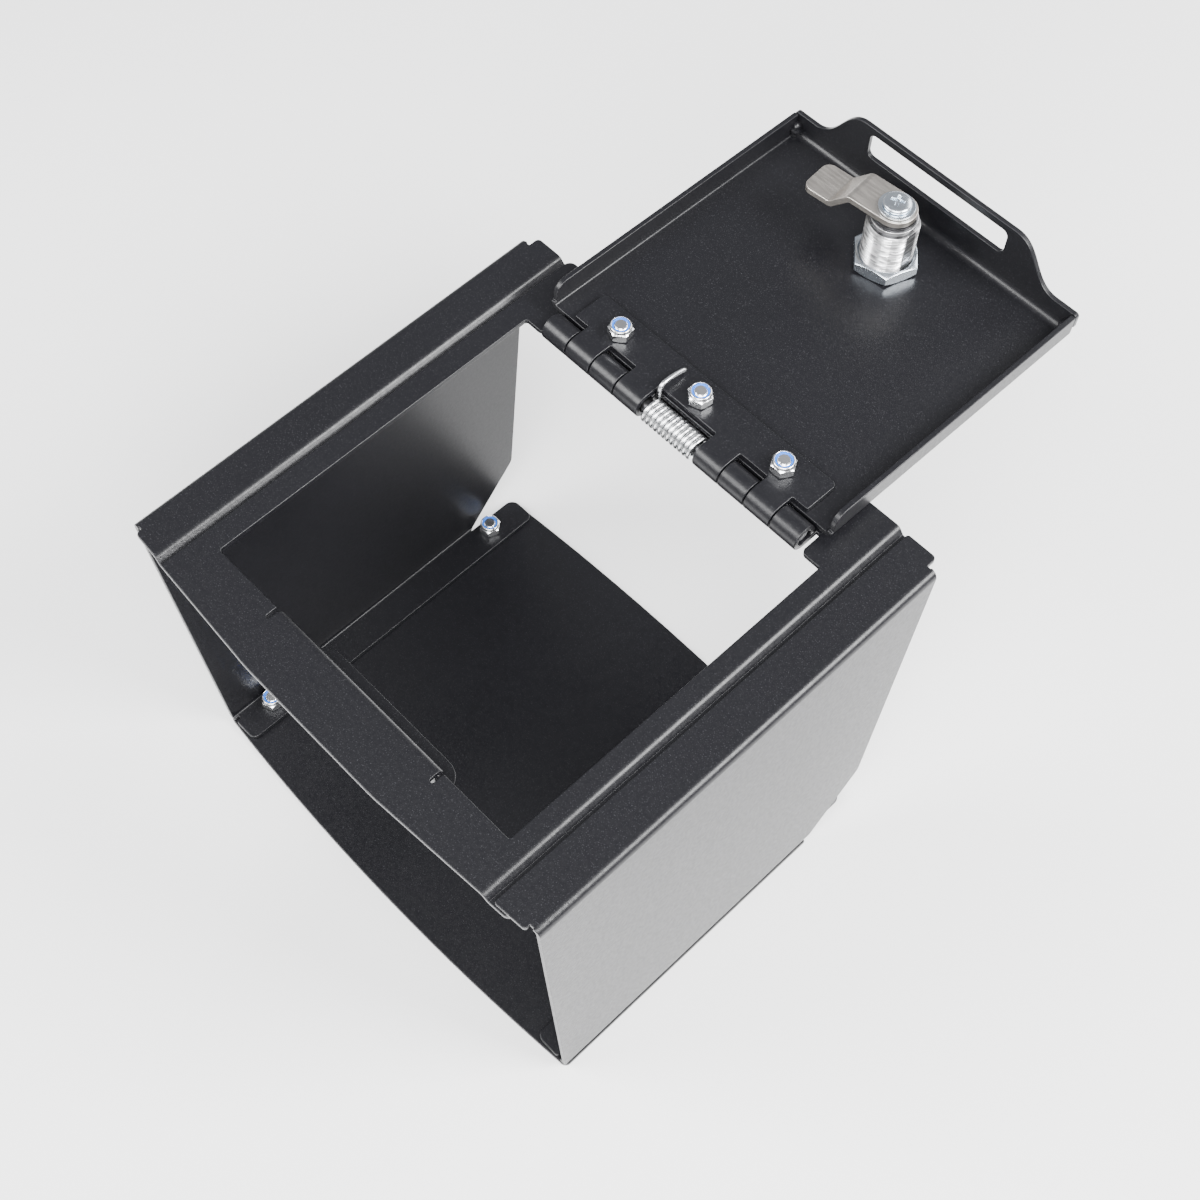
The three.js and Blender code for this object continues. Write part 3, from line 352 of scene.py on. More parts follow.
def bent_sheet(loops, thickness, edge, place, lines=(), steps=3):
    """Closed surface of a sheet cut to flat loops and bent by place(u, v, w), w counted from its middle.
    Material lies to the left of each loop. A ring set in by the edge radius bounds both faces, and from it
    a quarter circle of rings runs round each cut edge. Normals come from the same quarter circle."""
    loops = [split(np.asarray(loop, float), lines) for loop in loops]
    quarter = np.linspace(0, math.pi / 2, steps + 1)
    swing = np.concatenate([quarter, quarter[::-1]])
    side = np.concatenate([np.ones(steps + 1), -np.ones(steps + 1)])
    offset = edge * (np.sin(swing) - 1)
    height = side * (thickness / 2 - edge + edge * np.cos(swing))
    rings = len(swing)
    flat, outward, levels, swings, sides, quads, starts, insets = [], [], [], [], [], [], [], []
    total = 0
    for loop in loops:
        n = len(loop)
        way = unit(np.roll(loop, -1, 0) - loop)
        right = np.stack([way[:, 1], -way[:, 0]], 1)
        before = np.roll(right, 1, 0)
        mitre = (before + right) / np.maximum(1 + (before * right).sum(1, keepdims=True), 0.4)
        rim = loop[None] + offset[:, None, None] * mitre[None]
        insets.append(rim[0])
        flat.append(rim.reshape(-1, 2))
        outward.append(np.tile(unit(mitre), (rings, 1)))
        levels.append(np.repeat(height, n))
        swings.append(np.repeat(swing, n))
        sides.append(np.repeat(side, n))
        index = total + np.arange(rings * n).reshape(rings, n)
        ahead = np.roll(index, -1, 1)
        quads.append(np.stack([index[1:], ahead[1:], ahead[:-1], index[:-1]], -1).reshape(-1, 4))
        starts.append(total)
        total += rings * n
    ring_ids = [start + np.arange(len(loop)) for start, loop in zip(starts, loops)]
    points = np.concatenate(insets)
    top_ids = np.concatenate(ring_ids)
    base_ids = np.concatenate([ids + (rings - 1) * len(ids) for ids in ring_ids])
    first = np.cumsum([0] + [len(loop) for loop in loops])
    edges = [(int(f + i), int(f + (i + 1) % len(loop)))
             for f, loop in zip(first, loops) for i in range(len(loop))]
    outlines = np.concatenate(loops)
    for axis, value, low, high in lines:
        on = np.nonzero((np.abs(outlines[:, axis] - value) < 2e-4) & (outlines[:, 1 - axis] >= low)
                        & (outlines[:, 1 - axis] <= high))[0]
        on = on[np.argsort(outlines[on, 1 - axis])]
        middles = (outlines[on[:-1]] + outlines[on[1:]]) / 2
        if len(on) > 1:
            keep = inside(middles + 1e-5, loops)
            edges += [(int(a), int(b)) for a, b, k in zip(on[:-1], on[1:], keep) if k]
    coords, _, faces, origins, _, _ = delaunay_2d_cdt([Vector(p) for p in points], edges, [], 0, 1e-5)
    coords = np.array(coords)
    own = np.array([ids[0] if ids else -1 for ids in origins])
    triangles = np.array(faces)
    triangles = triangles[inside(coords[triangles].mean(1), insets)]
    extra = np.nonzero(own < 0)[0]
    top_of = np.where(own < 0, 0, top_ids[own])
    base_of = np.where(own < 0, 0, base_ids[own])
    top_of[extra] = total + np.arange(len(extra))
    base_of[extra] = total + len(extra) + np.arange(len(extra))
    for face, w in ((1.0, thickness / 2), (-1.0, -thickness / 2)):
        flat.append(coords[extra])
        outward.append(np.zeros((len(extra), 2)))
        levels.append(np.full(len(extra), w))
        swings.append(np.zeros(len(extra)))
        sides.append(np.full(len(extra), face))
    flat, outward = np.concatenate(flat), np.concatenate(outward)
    levels, swings, sides = np.concatenate(levels), np.concatenate(swings), np.concatenate(sides)
    tiny = 0.01
    u, v = flat.T
    up = unit(place(u, v, levels + tiny) - place(u, v, levels - tiny))
    du, dv = (outward * tiny).T
    out = unit(place(u + du, v + dv, levels) - place(u - du, v - dv, levels))
    normals = unit(up * (sides * np.cos(swings))[:, None] + out * np.sin(swings)[:, None])
    polygons = [*np.concatenate(quads).tolist(), *top_of[triangles].tolist(),
                *base_of[triangles][:, ::-1].tolist()]
    return place(u, v, levels), polygons, normals


def stacked(x, y, z):
    return np.stack(np.broadcast_arrays(x, y, z), -1).astype(float)


# Turned, threaded and swept surfaces

def grid_surface(points, ring=False):
    """Faces of a grid of rows by columns whose columns close on themselves. The rows close on themselves
    too when ring is set; otherwise each end row is closed by a fan round its middle."""
    rows, columns = points.shape[:2]
    index = np.arange(rows * columns).reshape(rows, columns)
    ahead = np.roll(index, -1, 1)
    if ring:
        upper, upper_ahead = np.roll(index, -1, 0), np.roll(ahead, -1, 0)
        lower, lower_ahead = index, ahead
    else:
        upper, upper_ahead, lower, lower_ahead = index[1:], ahead[1:], index[:-1], ahead[:-1]
    faces = np.stack([lower, lower_ahead, upper_ahead, upper], -1).reshape(-1, 4).tolist()
    vertices = points.reshape(-1, 3)
    if not ring:
        ends = np.array([points[0].mean(0), points[-1].mean(0)])
        low, high = rows * columns, rows * columns + 1
        vertices = np.concatenate([vertices, ends])
        faces += np.stack([ahead[0], index[0], np.full(columns, low)], -1).tolist()
        faces += np.stack([index[-1], ahead[-1], np.full(columns, high)], -1).tolist()
    return vertices, faces


def turned(profile, sides=64, ring=False):
    """Profile of (radius, height) carried round a vertical axis: x = r cos t, y = r sin t."""
    r, z = np.array(profile, float).T
    t = np.linspace(0, 2 * math.pi, sides, endpoint=False)
    points = stacked(r[:, None] * np.cos(t), r[:, None] * np.sin(t), z[:, None])
    return grid_surface(points, ring)


def soft_corners(profile, radius):
    """A profile whose inner corners are rounded by a small radius."""
    points = np.array(profile, float)
    out = [points[:1]]
    for before, here, after in zip(points[:-2], points[1:-1], points[2:]):
        b, a = before - here, after - here
        reach = min(radius, 0.45 * np.linalg.norm(b), 0.45 * np.linalg.norm(a))
        t = np.linspace(0, 1, 5)[:, None]
        start, end = here + unit(b) * reach, here + unit(a) * reach
        out.append((1 - t) ** 2 * start + 2 * t * (1 - t) * here + t ** 2 * end)
    out.append(points[-1:])
    return np.concatenate(out)


def soft_ring(profile, radius, sides):
    """Ring turned from a closed profile with softened corners. The profile ends where it starts."""
    return turned(soft_corners(profile, radius)[:-1], sides, ring=True)


def ring_of_rows(rows, t):
    """Ring from rows of (radius, height), each one number or one for every angle t."""
    r, z = (np.array([np.broadcast_to(row[k], t.shape) for row in rows], float) for k in (0, 1))
    return grid_surface(stacked(r * np.cos(t), r * np.sin(t), z), ring=True)


def hexagon_radius(t, flats, turn=0.0):
    """Distance from the axis to a hexagon's side: half the flats over the cosine from the side's middle."""
    sector = math.pi / 3
    return flats / 2 / np.cos(((t - math.radians(turn)) % sector) - sector / 2)


def wave(phase):
    """Triangle wave with its crest at whole numbers and its root half-way."""
    return np.abs((phase % 1.0) * 2 - 1)


def threaded(crest, depth, pitch, low, high, tip, sides, rows, flats=None, foot=0.0):
    """Thread of one start: radius = crest - depth * root wave(z / pitch - t / turn), faded out over the
    tip and the foot, and cut by flats that face +x and -x where asked."""
    count = int(round((high - low) / pitch * rows)) + 1
    z = np.linspace(low, high, count)[:, None]
    t = np.linspace(0, 2 * math.pi, sides, endpoint=False)[None]
    groove = np.clip(1.5 * (1 - wave(z / pitch - t / (2 * math.pi))) - 0.2, 0, 1)
    groove = groove * np.clip((z - low - foot) / pitch, 0, 1)
    r = crest - depth * groove
    r = np.minimum(r, crest - depth * 1.15 * np.clip((z - high + tip) / tip, 0, 1))
    if flats:
        r = np.minimum(r, flats / 2 / np.maximum(np.abs(np.cos(t)), 1e-3))
    return stacked(r * np.cos(t), r * np.sin(t), z + 0 * t)


def swept(path, radius, sides=12):
    """Round wire along a path: circles square to it, in the plane of the x axis turned across the path."""
    tangent = unit(np.gradient(path, axis=0))
    across = unit(np.cross(np.array([1.0, 0.0, 0.0]), tangent))
    side = np.cross(tangent, across)
    t = np.linspace(0, 2 * math.pi, sides, endpoint=False)
    ring = across[:, None] * np.cos(t)[None, :, None] + side[:, None] * np.sin(t)[None, :, None]
    return grid_surface(path[:, None] + radius * ring)


def together(*shells):
    """Several closed shells as one list of vertices and faces."""
    vertices, faces, shift = [], [], 0
    for points, polygons in shells:
        vertices.append(points)
        faces += [[i + shift for i in polygon] for polygon in polygons]
        shift += len(points)
    return np.concatenate(vertices), faces


# Finished objects

def finished(name, shape, body, node, material, place=None, sharp=None):
    """Mesh object from vertices in millimetres, moved by place, riding on its body for its frame node."""
    points, faces = shape[0], shape[1]
    matrix = np.array(place if place is not None else Matrix.Identity(4))
    turn, shift = matrix[:3, :3], matrix[:3, 3]
    mesh = bpy.data.meshes.new(name)
    mesh.from_pydata(((points @ turn.T + shift) / 1000).tolist(), [], faces)
    mesh.polygons.foreach_set("use_smooth", np.ones(len(mesh.polygons), bool))
    mesh.update()
    if len(shape) > 2:
        mesh.normals_split_custom_set_from_vertices((shape[2] @ turn.T).tolist())
    elif sharp:
        mesh.set_sharp_from_angle(angle=math.radians(sharp))
    if mesh.validate(verbose=False):
        raise RuntimeError(f"{name}: the mesh had faults")
    piece = bpy.data.objects.new(name, mesh)
    bpy.context.scene.collection.objects.link(piece)
    mesh.materials.append(material)
    if body:
        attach(piece, body)
    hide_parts(node)
    return piece


# Finishes

def new_finish(name):
    material = bpy.data.materials.new(name)
    material.use_nodes = True
    nodes, links = material.node_tree.nodes, material.node_tree.links
    shader = next(n for n in nodes if n.type == "BSDF_PRINCIPLED")
    coordinate = nodes.new("ShaderNodeTexCoord")
    return material, nodes, links, shader, coordinate.outputs["Object"]


def grain(nodes, links, where, scale, detail=2.0, stretch=None):
    """Noise on object coordinates; scale is in cycles for each metre."""
    if stretch:
        mapping = nodes.new("ShaderNodeMapping")
        mapping.inputs["Scale"].default_value = stretch
        links.new(where, mapping.inputs["Vector"])
        where = mapping.outputs["Vector"]
    noise = nodes.new("ShaderNodeTexNoise")
    noise.inputs["Scale"].default_value = scale
    noise.inputs["Detail"].default_value = detail
    links.new(where, noise.inputs["Vector"])
    return noise.outputs["Fac"]


def between(nodes, links, value, low, high, start=0.0, end=1.0):
    """Maps a value linearly to a range."""
    node = nodes.new("ShaderNodeMapRange")
    links.new(value, node.inputs["Value"])
    for key, number in (("From Min", start), ("From Max", end), ("To Min", low), ("To Max", high)):
        node.inputs[key].default_value = number
    return node.outputs["Result"]


def blend_colours(nodes, links, factor, first, second):
    node = nodes.new("ShaderNodeMix")
    node.data_type = "RGBA"
    links.new(factor, node.inputs["Factor"])
    for socket, value in ((node.inputs[6], first), (node.inputs[7], second)):
        if isinstance(value, bpy.types.NodeSocket):
            links.new(value, socket)
        else:
            socket.default_value = (*value, 1)
    return node.outputs[2]


def relief(nodes, links, shader, heights):
    """Bump nodes in a row, each (height, strength or a socket for it, distance in metres)."""
    normal = None
    for height, strength, distance in heights:
        node = nodes.new("ShaderNodeBump")
        if isinstance(strength, bpy.types.NodeSocket):
            links.new(strength, node.inputs["Strength"])
        else:
            node.inputs["Strength"].default_value = strength
        node.inputs["Distance"].default_value = distance
        links.new(height, node.inputs["Height"])
        if normal:
            links.new(normal, node.inputs["Normal"])
        normal = node.outputs["Normal"]
    links.new(normal, shader.inputs["Normal"])


def powder_coat(finish):
    """Fine-textured satin black coat: sub-millimetre grains in the relief, stronger towards the box's front,
    and a few lighter ones."""
    name = "powder_coat_finish"
    if name in bpy.data.materials:
        return bpy.data.materials[name]
    material, nodes, links, shader, where = new_finish(name)
    fine = grain(nodes, links, where, 2400, 3)
    coarse = grain(nodes, links, where, 700, 2)
    wide = grain(nodes, links, where, 26, 3)
    flecks = between(nodes, links, fine, 0, 1, 0.60, 0.74)
    body = blend_colours(nodes, links, wide, finish.coat, [min(1, c * 1.35) for c in finish.coat])
    links.new(blend_colours(nodes, links, flecks, body, finish.fleck), shader.inputs["Base Color"])
    links.new(between(nodes, links, coarse, 0.28, 0.37, 0.3, 0.7), shader.inputs["Roughness"])
    shader.inputs["Specular IOR Level"].default_value = 0.40
    parts = nodes.new("ShaderNodeSeparateXYZ")
    links.new(where, parts.inputs[0])
    front = between(nodes, links, parts.outputs["Y"], 0.16, 0.60, -0.045, -0.075)
    relief(nodes, links, shader, ((fine, front, 0.00008), (coarse, front, 0.00012)))
    return material


def plated(name, low, high, rough, stretch=None, scale=90, depth=0.00002, streaked=False):
    """Metal plate: two tones mixed by wide noise, or by the streaks. The streaks' finer noise sets the
    roughness."""
    if name in bpy.data.materials:
        return bpy.data.materials[name]
    material, nodes, links, shader, where = new_finish(name)
    cloud = grain(nodes, links, where, scale, 3)
    streak = grain(nodes, links, where, 1100, 2, stretch)
    source, start, end = (streak, 0.40, 0.56) if streaked else (cloud, 0.35, 0.65)
    tone = between(nodes, links, source, 0, 1, start, end)
    links.new(blend_colours(nodes, links, tone, low, high), shader.inputs["Base Color"])
    links.new(between(nodes, links, streak, rough[0], rough[1], 0.3, 0.7), shader.inputs["Roughness"])
    shader.inputs["Metallic"].default_value = 1.0
    relief(nodes, links, shader, ((streak, 0.35, depth),))
    return material


def darker(rgb, share):
    return [c * share for c in rgb]


def bright_zinc(finish):
    return plated("bright_zinc_finish", darker(finish.zinc, 0.8), finish.zinc, (0.17, 0.27), depth=0.000006)


def bluish_zinc(finish):
    return plated("bluish_zinc_finish", darker(finish.blue_zinc, 0.78), finish.blue_zinc, (0.18, 0.28),
                  depth=0.000008)


def spring_zinc(finish):
    return plated("spring_zinc_finish", darker(finish.zinc, 0.85), finish.zinc, (0.20, 0.32), scale=240,
                  depth=0.000006)


def lock_plating(finish):
    return plated("lock_plating_finish", darker(finish.plating, 0.28), finish.plating, (0.48, 0.24),
                  (0.14, 0.14, 0.8), depth=0.00012, streaked=True)


def pin_steel(finish):
    return plated("pin_steel_finish", darker(finish.pin, 0.75), finish.pin, (0.28, 0.42))


def cam_steel(finish):
    return plated("cam_steel_finish", darker(finish.cam, 0.86), finish.cam, (0.32, 0.44), (0.10, 1.0, 1.0),
                  depth=0.000012)


def blue_nylon(finish):
    """Moulded nylon: even blue with faint cloudiness and a soft gloss."""
    name = "blue_nylon_finish"
    if name in bpy.data.materials:
        return bpy.data.materials[name]
    material, nodes, links, shader, where = new_finish(name)
    cloud = grain(nodes, links, where, 500, 2)
    colour_out = blend_colours(nodes, links, cloud, darker(finish.nylon, 0.8), finish.nylon)
    links.new(colour_out, shader.inputs["Base Color"])
    links.new(between(nodes, links, cloud, 0.34, 0.48), shader.inputs["Roughness"])
    relief(nodes, links, shader, ((cloud, 0.2, 0.00002),))
    return material


def studio_floor(finish):
    name = "studio_floor_finish"
    material, nodes, links, shader, where = new_finish(name)
    cloud = grain(nodes, links, where, 3, 2)
    colour_out = blend_colours(nodes, links, cloud, darker(finish.ground, 0.99), finish.ground)
    links.new(colour_out, shader.inputs["Base Color"])
    shader.inputs["Roughness"].default_value = 0.7
    shader.inputs["Specular IOR Level"].default_value = 0.2
    return material


# Shapes of the sheet pieces

def side_panel(d, sign):
    """Wall with a flange at its foot and one at its top. The blank's u runs from the foot flange's free edge
    up the wall and in along the top flange; v is the part's y."""
    mid, bar = d.half - d.sheet / 2, d.box_height - d.sheet / 2
    foot = d.sheet * 1.5 + SEAT
    if sign > 0:
        top = [(d.right_seam + SEAT, bar)]
    else:
        outer = d.left_seam - LEFT_JOGGLE
        top = [(outer, bar, BEND), (outer + JOGGLE_RUN, d.lap_mid, JOGGLE_FOOT),
               (d.left_seam + LAP, d.lap_mid)]
    runs, arcs, far = bend_path([(sign * (d.half - SIDE_FLANGE), foot), (sign * mid, foot, BEND),
                                 (sign * mid, bar, BEND), *top])
    low, high = arcs[0][0], arcs[1][1]
    half = d.floor_depth / 2
    front, rear = -half - WALL_FRONT_LEAN, half + WALL_REAR_LEAN + sign * WALL_REAR_SKEW
    flange_front, flange_rear = front - FLANGE_FRONT_REACH, rear + FLANGE_REAR_REACH
    notch_front, notch_rear = front + RELIEF_DEPTH, rear - RELIEF_DEPTH
    inner_front = flange_front - FLANGE_SLOPE * (far - high - RELIEF)
    chamfer = arcs[0][1] + CHAMFER_TOP - (foot + BEND)
    blank = rounded([
        (0, -half, 3), (low - RELIEF, -half, 1.2), (low - RELIEF, -half + d.sheet),
        (low, -half + d.sheet), (low, -half),
        (high, front, 0.15), (high, notch_front, 0.15), (high + RELIEF, notch_front, 0.2),
        (high + RELIEF, flange_front, 1.3), (far, inner_front, 0.8), (far, flange_rear, 1.2),
        (high + RELIEF, flange_rear, 1.7), (high + RELIEF, notch_rear, 0.2), (high, notch_rear, 0.15),
        (high, rear, 0.15), (chamfer, half + CHAMFER_REACH, 6), (low, half - WALL_FOOT_INSET),
        (low, half, 4), (0, half, 3),
    ])
    stud = SIDE_FLANGE - STUD_INSET
    holes = [round_hole(stud, y, HOLE) for y in (STUD_FRONT, STUD_REAR)]

    def place(u, v, w):
        x, z = bent(runs, u, w)
        return stacked(x, v, z)

    return bent_sheet([blank, *holes], d.sheet, d.edge, place, bend_lines(arcs, 0, -WIDE, WIDE))


def long_slot(low, high):
    """Slot across the flange or the strike tab, from one v to the other."""
    half = SLOT_WIDTH / 2
    return clockwise(rounded([(x, v, SLOT_RADIUS) for x, v in
                              ((-half, low), (half, low), (half, high), (-half, high))]))


def bolt_holes(d):
    """Holes of the leaf's bolts, in the lid's own frame."""
    return [round_hole(x, d.lid_rear + BOLT_INSET, HOLE) for x in (-BOLT_SPACING, 0, BOLT_SPACING)]


def knuckle_ends(d, order):
    """Both ends of a knuckle in x, on the positive side; order 0 is next to the spring."""
    near = d.spring_bay / 2 + order * KNUCKLE_PITCH + KNUCKLE_GAP / 2
    return near, near + KNUCKLE_PITCH - KNUCKLE_GAP


def tongue_corners(d, orders, root, tip):
    """Corners of the knuckles' tongues, from -x to +x, each from the root to the tip and back."""
    corners = []
    spans = [knuckle_ends(d, order) for order in sorted(orders, reverse=True)]
    spans += [(-far, -near) for near, far in reversed(spans)]
    for near, far in spans:
        corners += [(far, root), (far, tip, 0.5), (near, tip, 0.5), (near, root)]
    return corners[::-1]


def top_frame(d):
    """Band round the opening, with a joggled lap at its right, a strike tab bent down at the front of the
    opening, and four tongues rolled up round the pin at its rear. u is x and v is y on the band."""
    bar = d.box_height - d.sheet / 2
    right = d.right_seam - RIGHT_JOGGLE
    lap_runs, lap_arcs, lap_far = bend_path([
        (right - 5, bar), (right, bar, BEND), (right + JOGGLE_RUN, d.lap_mid, JOGGLE_FOOT),
        (d.right_seam + LAP, d.lap_mid)])
    lap_start, lap_end = right - 5, right - 5 + lap_far
    wall, lip = STRIKE_FACE - d.sheet / 2, d.box_height - STRIKE_DROP - d.sheet / 2
    nose = STRIKE_FACE + STRIKE_LIP
    tab_runs, tab_arcs, tab_far = bend_path([
        (wall - 4, bar), (wall, bar, BEND), (wall, lip, BEND), (nose - STRIKE_NOSE, lip, 3.0),
        (nose, lip - STRIKE_NOSE * math.tan(math.radians(14)))])
    tab_start, tab_end = wall - 4, wall - 4 + tab_far
    mid_roll = d.knuckle - d.sheet / 2
    roll_runs, roll_arcs, roll_far = rolled_path(30, -mid_roll, mid_roll, math.radians(ROLL_TURN))
    half_open, half_tab, half_lip = d.opening_width / 2, STRIKE_WIDTH / 2, STRIKE_LIP_WIDTH / 2
    outer = rounded([
        (d.left_seam, BAND_FRONT, 0.8), (-BULGE_FLAT, BAND_FRONT - BAND_BULGE, 60),
        (BULGE_FLAT, BAND_FRONT - BAND_BULGE, 60), (lap_end, BAND_FRONT + 0.6, 3),
        (lap_end, BAND_REAR - 0.5, 2), (right, BAND_REAR + 0.8, 12), (d.left_seam, BAND_REAR - 0.5, 3)])
    slit = OPENING_FRONT - SLIT_DEPTH
    notch, notch_rear = knuckle_ends(d, 3)[1] + NOTCH_PLAY, OPENING_REAR + NOTCH_DEPTH
    fold = tab_start + tab_arcs[0][1] + 0.6
    inner = rounded([
        (-half_open, OPENING_FRONT, 1), (-half_open, OPENING_REAR, 1), (-notch, OPENING_REAR, 2.2),
        (-notch, notch_rear, 0.6),
        *tongue_corners(d, (1, 3), notch_rear, HINGE_Y - roll_far),
        (notch, notch_rear, 0.6), (notch, OPENING_REAR, 2.2), (half_open, OPENING_REAR, 1),
        (half_open, OPENING_FRONT, 1), (half_tab + SLIT_WIDTH, OPENING_FRONT, 0.4),
        (half_tab + SLIT_WIDTH, slit, 0.7), (half_tab, slit, 0.7),
        (half_tab, fold, 1.2), (half_lip, fold + 1.5, 1.2), (half_lip, tab_end, 9), (-half_lip, tab_end, 9),
        (-half_lip, fold + 1.5, 1.2), (-half_tab, fold, 1.2), (-half_tab, slit, 0.7),
        (-half_tab - SLIT_WIDTH, slit, 0.7), (-half_tab - SLIT_WIDTH, OPENING_FRONT, 0.4)])
    closed = d.axis_z - d.lid_inner
    level = tab_start + tab_arcs[0][1] + bar - BEND
    slot_top, slot_low = closed - SLOT_LOW - 1.2, closed - SLOT_HIGH - 0.6
    slot = long_slot(level - slot_low, level - slot_top)
    inner = clockwise(inner)

    def place(u, v, w):
        x, y, z = u + 0 * w, v + 0 * w, bar + w
        lap = u > lap_start
        lap_x, lap_z = bent(lap_runs, u - lap_start, w)
        x, z = np.where(lap, lap_x, x), np.where(lap, lap_z, z)
        tab = (np.abs(u) < half_tab + 0.7) & (v > tab_start) & (v < tab_end + 3)
        tab_y, tab_z = bent(tab_runs, v - tab_start, w)
        y, z = np.where(tab, tab_y, y), np.where(tab, tab_z, z)
        roll = (np.abs(u) < notch - 0.5) & (v < HINGE_Y) & (v > tab_end + 3)
        roll_y, roll_z = bent(roll_runs, HINGE_Y - v, w)
        return stacked(x, np.where(roll, HINGE_Y - roll_y, y), np.where(roll, d.axis_z + roll_z, z))

    lines = bend_lines(lap_arcs, 0, -WIDE, WIDE, lap_start)
    lines += bend_lines(tab_arcs, 1, -half_tab - 0.7, half_tab + 0.7, tab_start)
    lines += bend_lines(roll_arcs, 1, -notch + 0.5, notch - 0.5, HINGE_Y, -1, 10.0)
    return bent_sheet([outer, inner, slot], d.sheet, d.edge, place, lines)


def clockwise(loop):
    """The loop as the edge of a hole, turned round where the sign of its area is positive."""
    ahead = np.roll(loop, -1, 0)
    area = float((loop[:, 0] * ahead[:, 1] - ahead[:, 0] * loop[:, 1]).sum())
    return loop[::-1] if area > 0 else loop


def floor_plate(d):
    """Flat plate whose front and rear edges bow out by bulge * (1 - (x / half)^2). Behind the walls' feet it
    is a little narrower."""
    half = d.floor_depth / 2
    foot, side = half - WALL_FOOT_INSET, d.half - d.sheet / 2 - BEND
    x = np.linspace(-d.half, d.half, 49)[1:-1]
    bow = 1 - (x / d.half) ** 2
    front = [(a, -half - FLOOR_FRONT_BULGE * b) for a, b in zip(x, bow)]
    rear = [(a, half + FLOOR_REAR_BULGE * b) for a, b in zip(x, bow) if abs(a) < side - 4.5]
    blank = rounded([
        (-d.half, -half, 2.5), *front, (d.half, -half, 2.5), (d.half, foot, 0.5), (side, foot, 0.5),
        (side, half, 3.5), *rear[::-1], (-side, half, 3.5), (-side, foot, 0.5), (-d.half, foot, 0.5)])
    holes = [round_hole(s * d.stud_x, y, STUD_HEAD_HOLE) for s in (-1, 1) for y in (STUD_FRONT, STUD_REAR)]
    return bent_sheet([blank, *holes], d.sheet, d.edge, lambda u, v, w: stacked(u, v, d.sheet / 2 + w))


def lid_tray(d):
    """Tray in the lid's own frame: u is x, v is y from the pin's axis. Low side flaps bend up along x, and
    the tall front flap bends up along y; its top edge rises in an S-curve, 3 t^2 - 2 t^3 made steeper."""
    half, mid = d.lid_width / 2, d.lid_inner - d.sheet / 2
    front = d.lid_rear + d.lid_depth - d.sheet / 2
    side_runs, side_arcs, side_far = bend_path([
        (0, mid), (half - d.sheet / 2, mid, BEND), (half - d.sheet / 2, d.lid_inner + SIDE_HEIGHT)])
    front_runs, front_arcs, front_far = bend_path([
        (0, mid), (front, mid, LID_BEND), (front, d.lid_inner + FLANGE_HEIGHT)])
    side_fold, side_up = side_arcs[0][:2]
    front_fold, front_up = front_arcs[0][:2]
    level = front_up - (mid + LID_BEND)
    shoulder, top = level + d.lid_inner + FLANGE_SHOULDER, front_far
    t = np.linspace(0, 1, 25)[1:-1]
    middle = (FLANGE_TOP + FLANGE_FOOT) / 2
    rise_x = (1 - t) ** 3 * FLANGE_FOOT + 3 * t * (1 - t) * middle + t ** 3 * FLANGE_TOP
    rise_v = (1 - t) ** 2 * (1 + 2 * t) * shoulder + t ** 2 * (3 - 2 * t) * top
    curve = list(zip(rise_x, rise_v))
    start, butt = d.lid_rear + SIDE_START, front - d.sheet / 2 - 0.2
    right = [(side_up, d.lid_rear, 0.5), (side_up, start, 0.3), (side_far, start, 5), (side_far, butt, 0.6),
             (side_fold + 0.25, butt), (side_fold + 0.15, front_fold), (side_fold - 0.15, front_fold),
             (side_fold - 0.15, front_up), (half, front_up), (half, shoulder, 1.5), (FLANGE_FOOT, shoulder),
             *curve, (FLANGE_TOP, top)]
    left = [(-c[0], *c[1:]) for c in reversed(right)]
    blank = rounded([*right, *left])
    slot = long_slot(level + d.lid_inner + SLOT_LOW, level + d.lid_inner + SLOT_HIGH)
    lock = flat_round(0, d.lock_y, d.barrel + FIT, BARREL_FLATS + 2 * FIT, math.pi / 2)[::-1]

    def place(u, v, w):
        x, y, z = u + 0 * w, v + 0 * w, mid + w
        side = (np.abs(u) > side_fold) & (v < butt + 1)
        side_x, side_z = bent(side_runs, np.abs(u), w)
        x, z = np.where(side, np.sign(u) * side_x, x), np.where(side, side_z, z)
        up = (v > front_fold) & ~side
        up_y, up_z = bent(front_runs, v, w)
        return stacked(x, np.where(up, up_y, y), np.where(up, up_z, z))

    lines = bend_lines(side_arcs, 0, -WIDE, butt + 0.5)
    lines += bend_lines(side_arcs, 0, -WIDE, butt + 0.5, 0.0, -1)
    lines += bend_lines(front_arcs, 1, -side_fold, side_fold)
    return bent_sheet([blank, slot, lock, *bolt_holes(d)], d.sheet, d.edge, place, lines)


def weld_lumps(d):
    """Welds that close the tray's front corners: an egg shape whose radius swells and shrinks a little
    along its height, once for each corner."""
    t = np.linspace(0, 2 * math.pi, 40, endpoint=False)[None]
    s = np.linspace(-0.96, 0.96, 30)[:, None]
    shells = []
    for sign in (-1, 1):
        uneven = 1 + 0.07 * np.sin(9 * s + 2 * np.cos(t)) + 0.05 * np.cos(3 * t + 4 * s * sign)
        swell = np.sqrt(1 - s ** 2) * uneven
        x = sign * (d.lid_width / 2 - 2.55) + 2.2 * swell * np.cos(t)
        y = d.lid_rear + d.lid_depth - 3.2 + 2.6 * swell * np.sin(t)
        z = d.lid_inner + 2.2 + 3.5 * s + 0 * t
        shells.append(grid_surface(stacked(x, y, z)))
    return together(*shells)


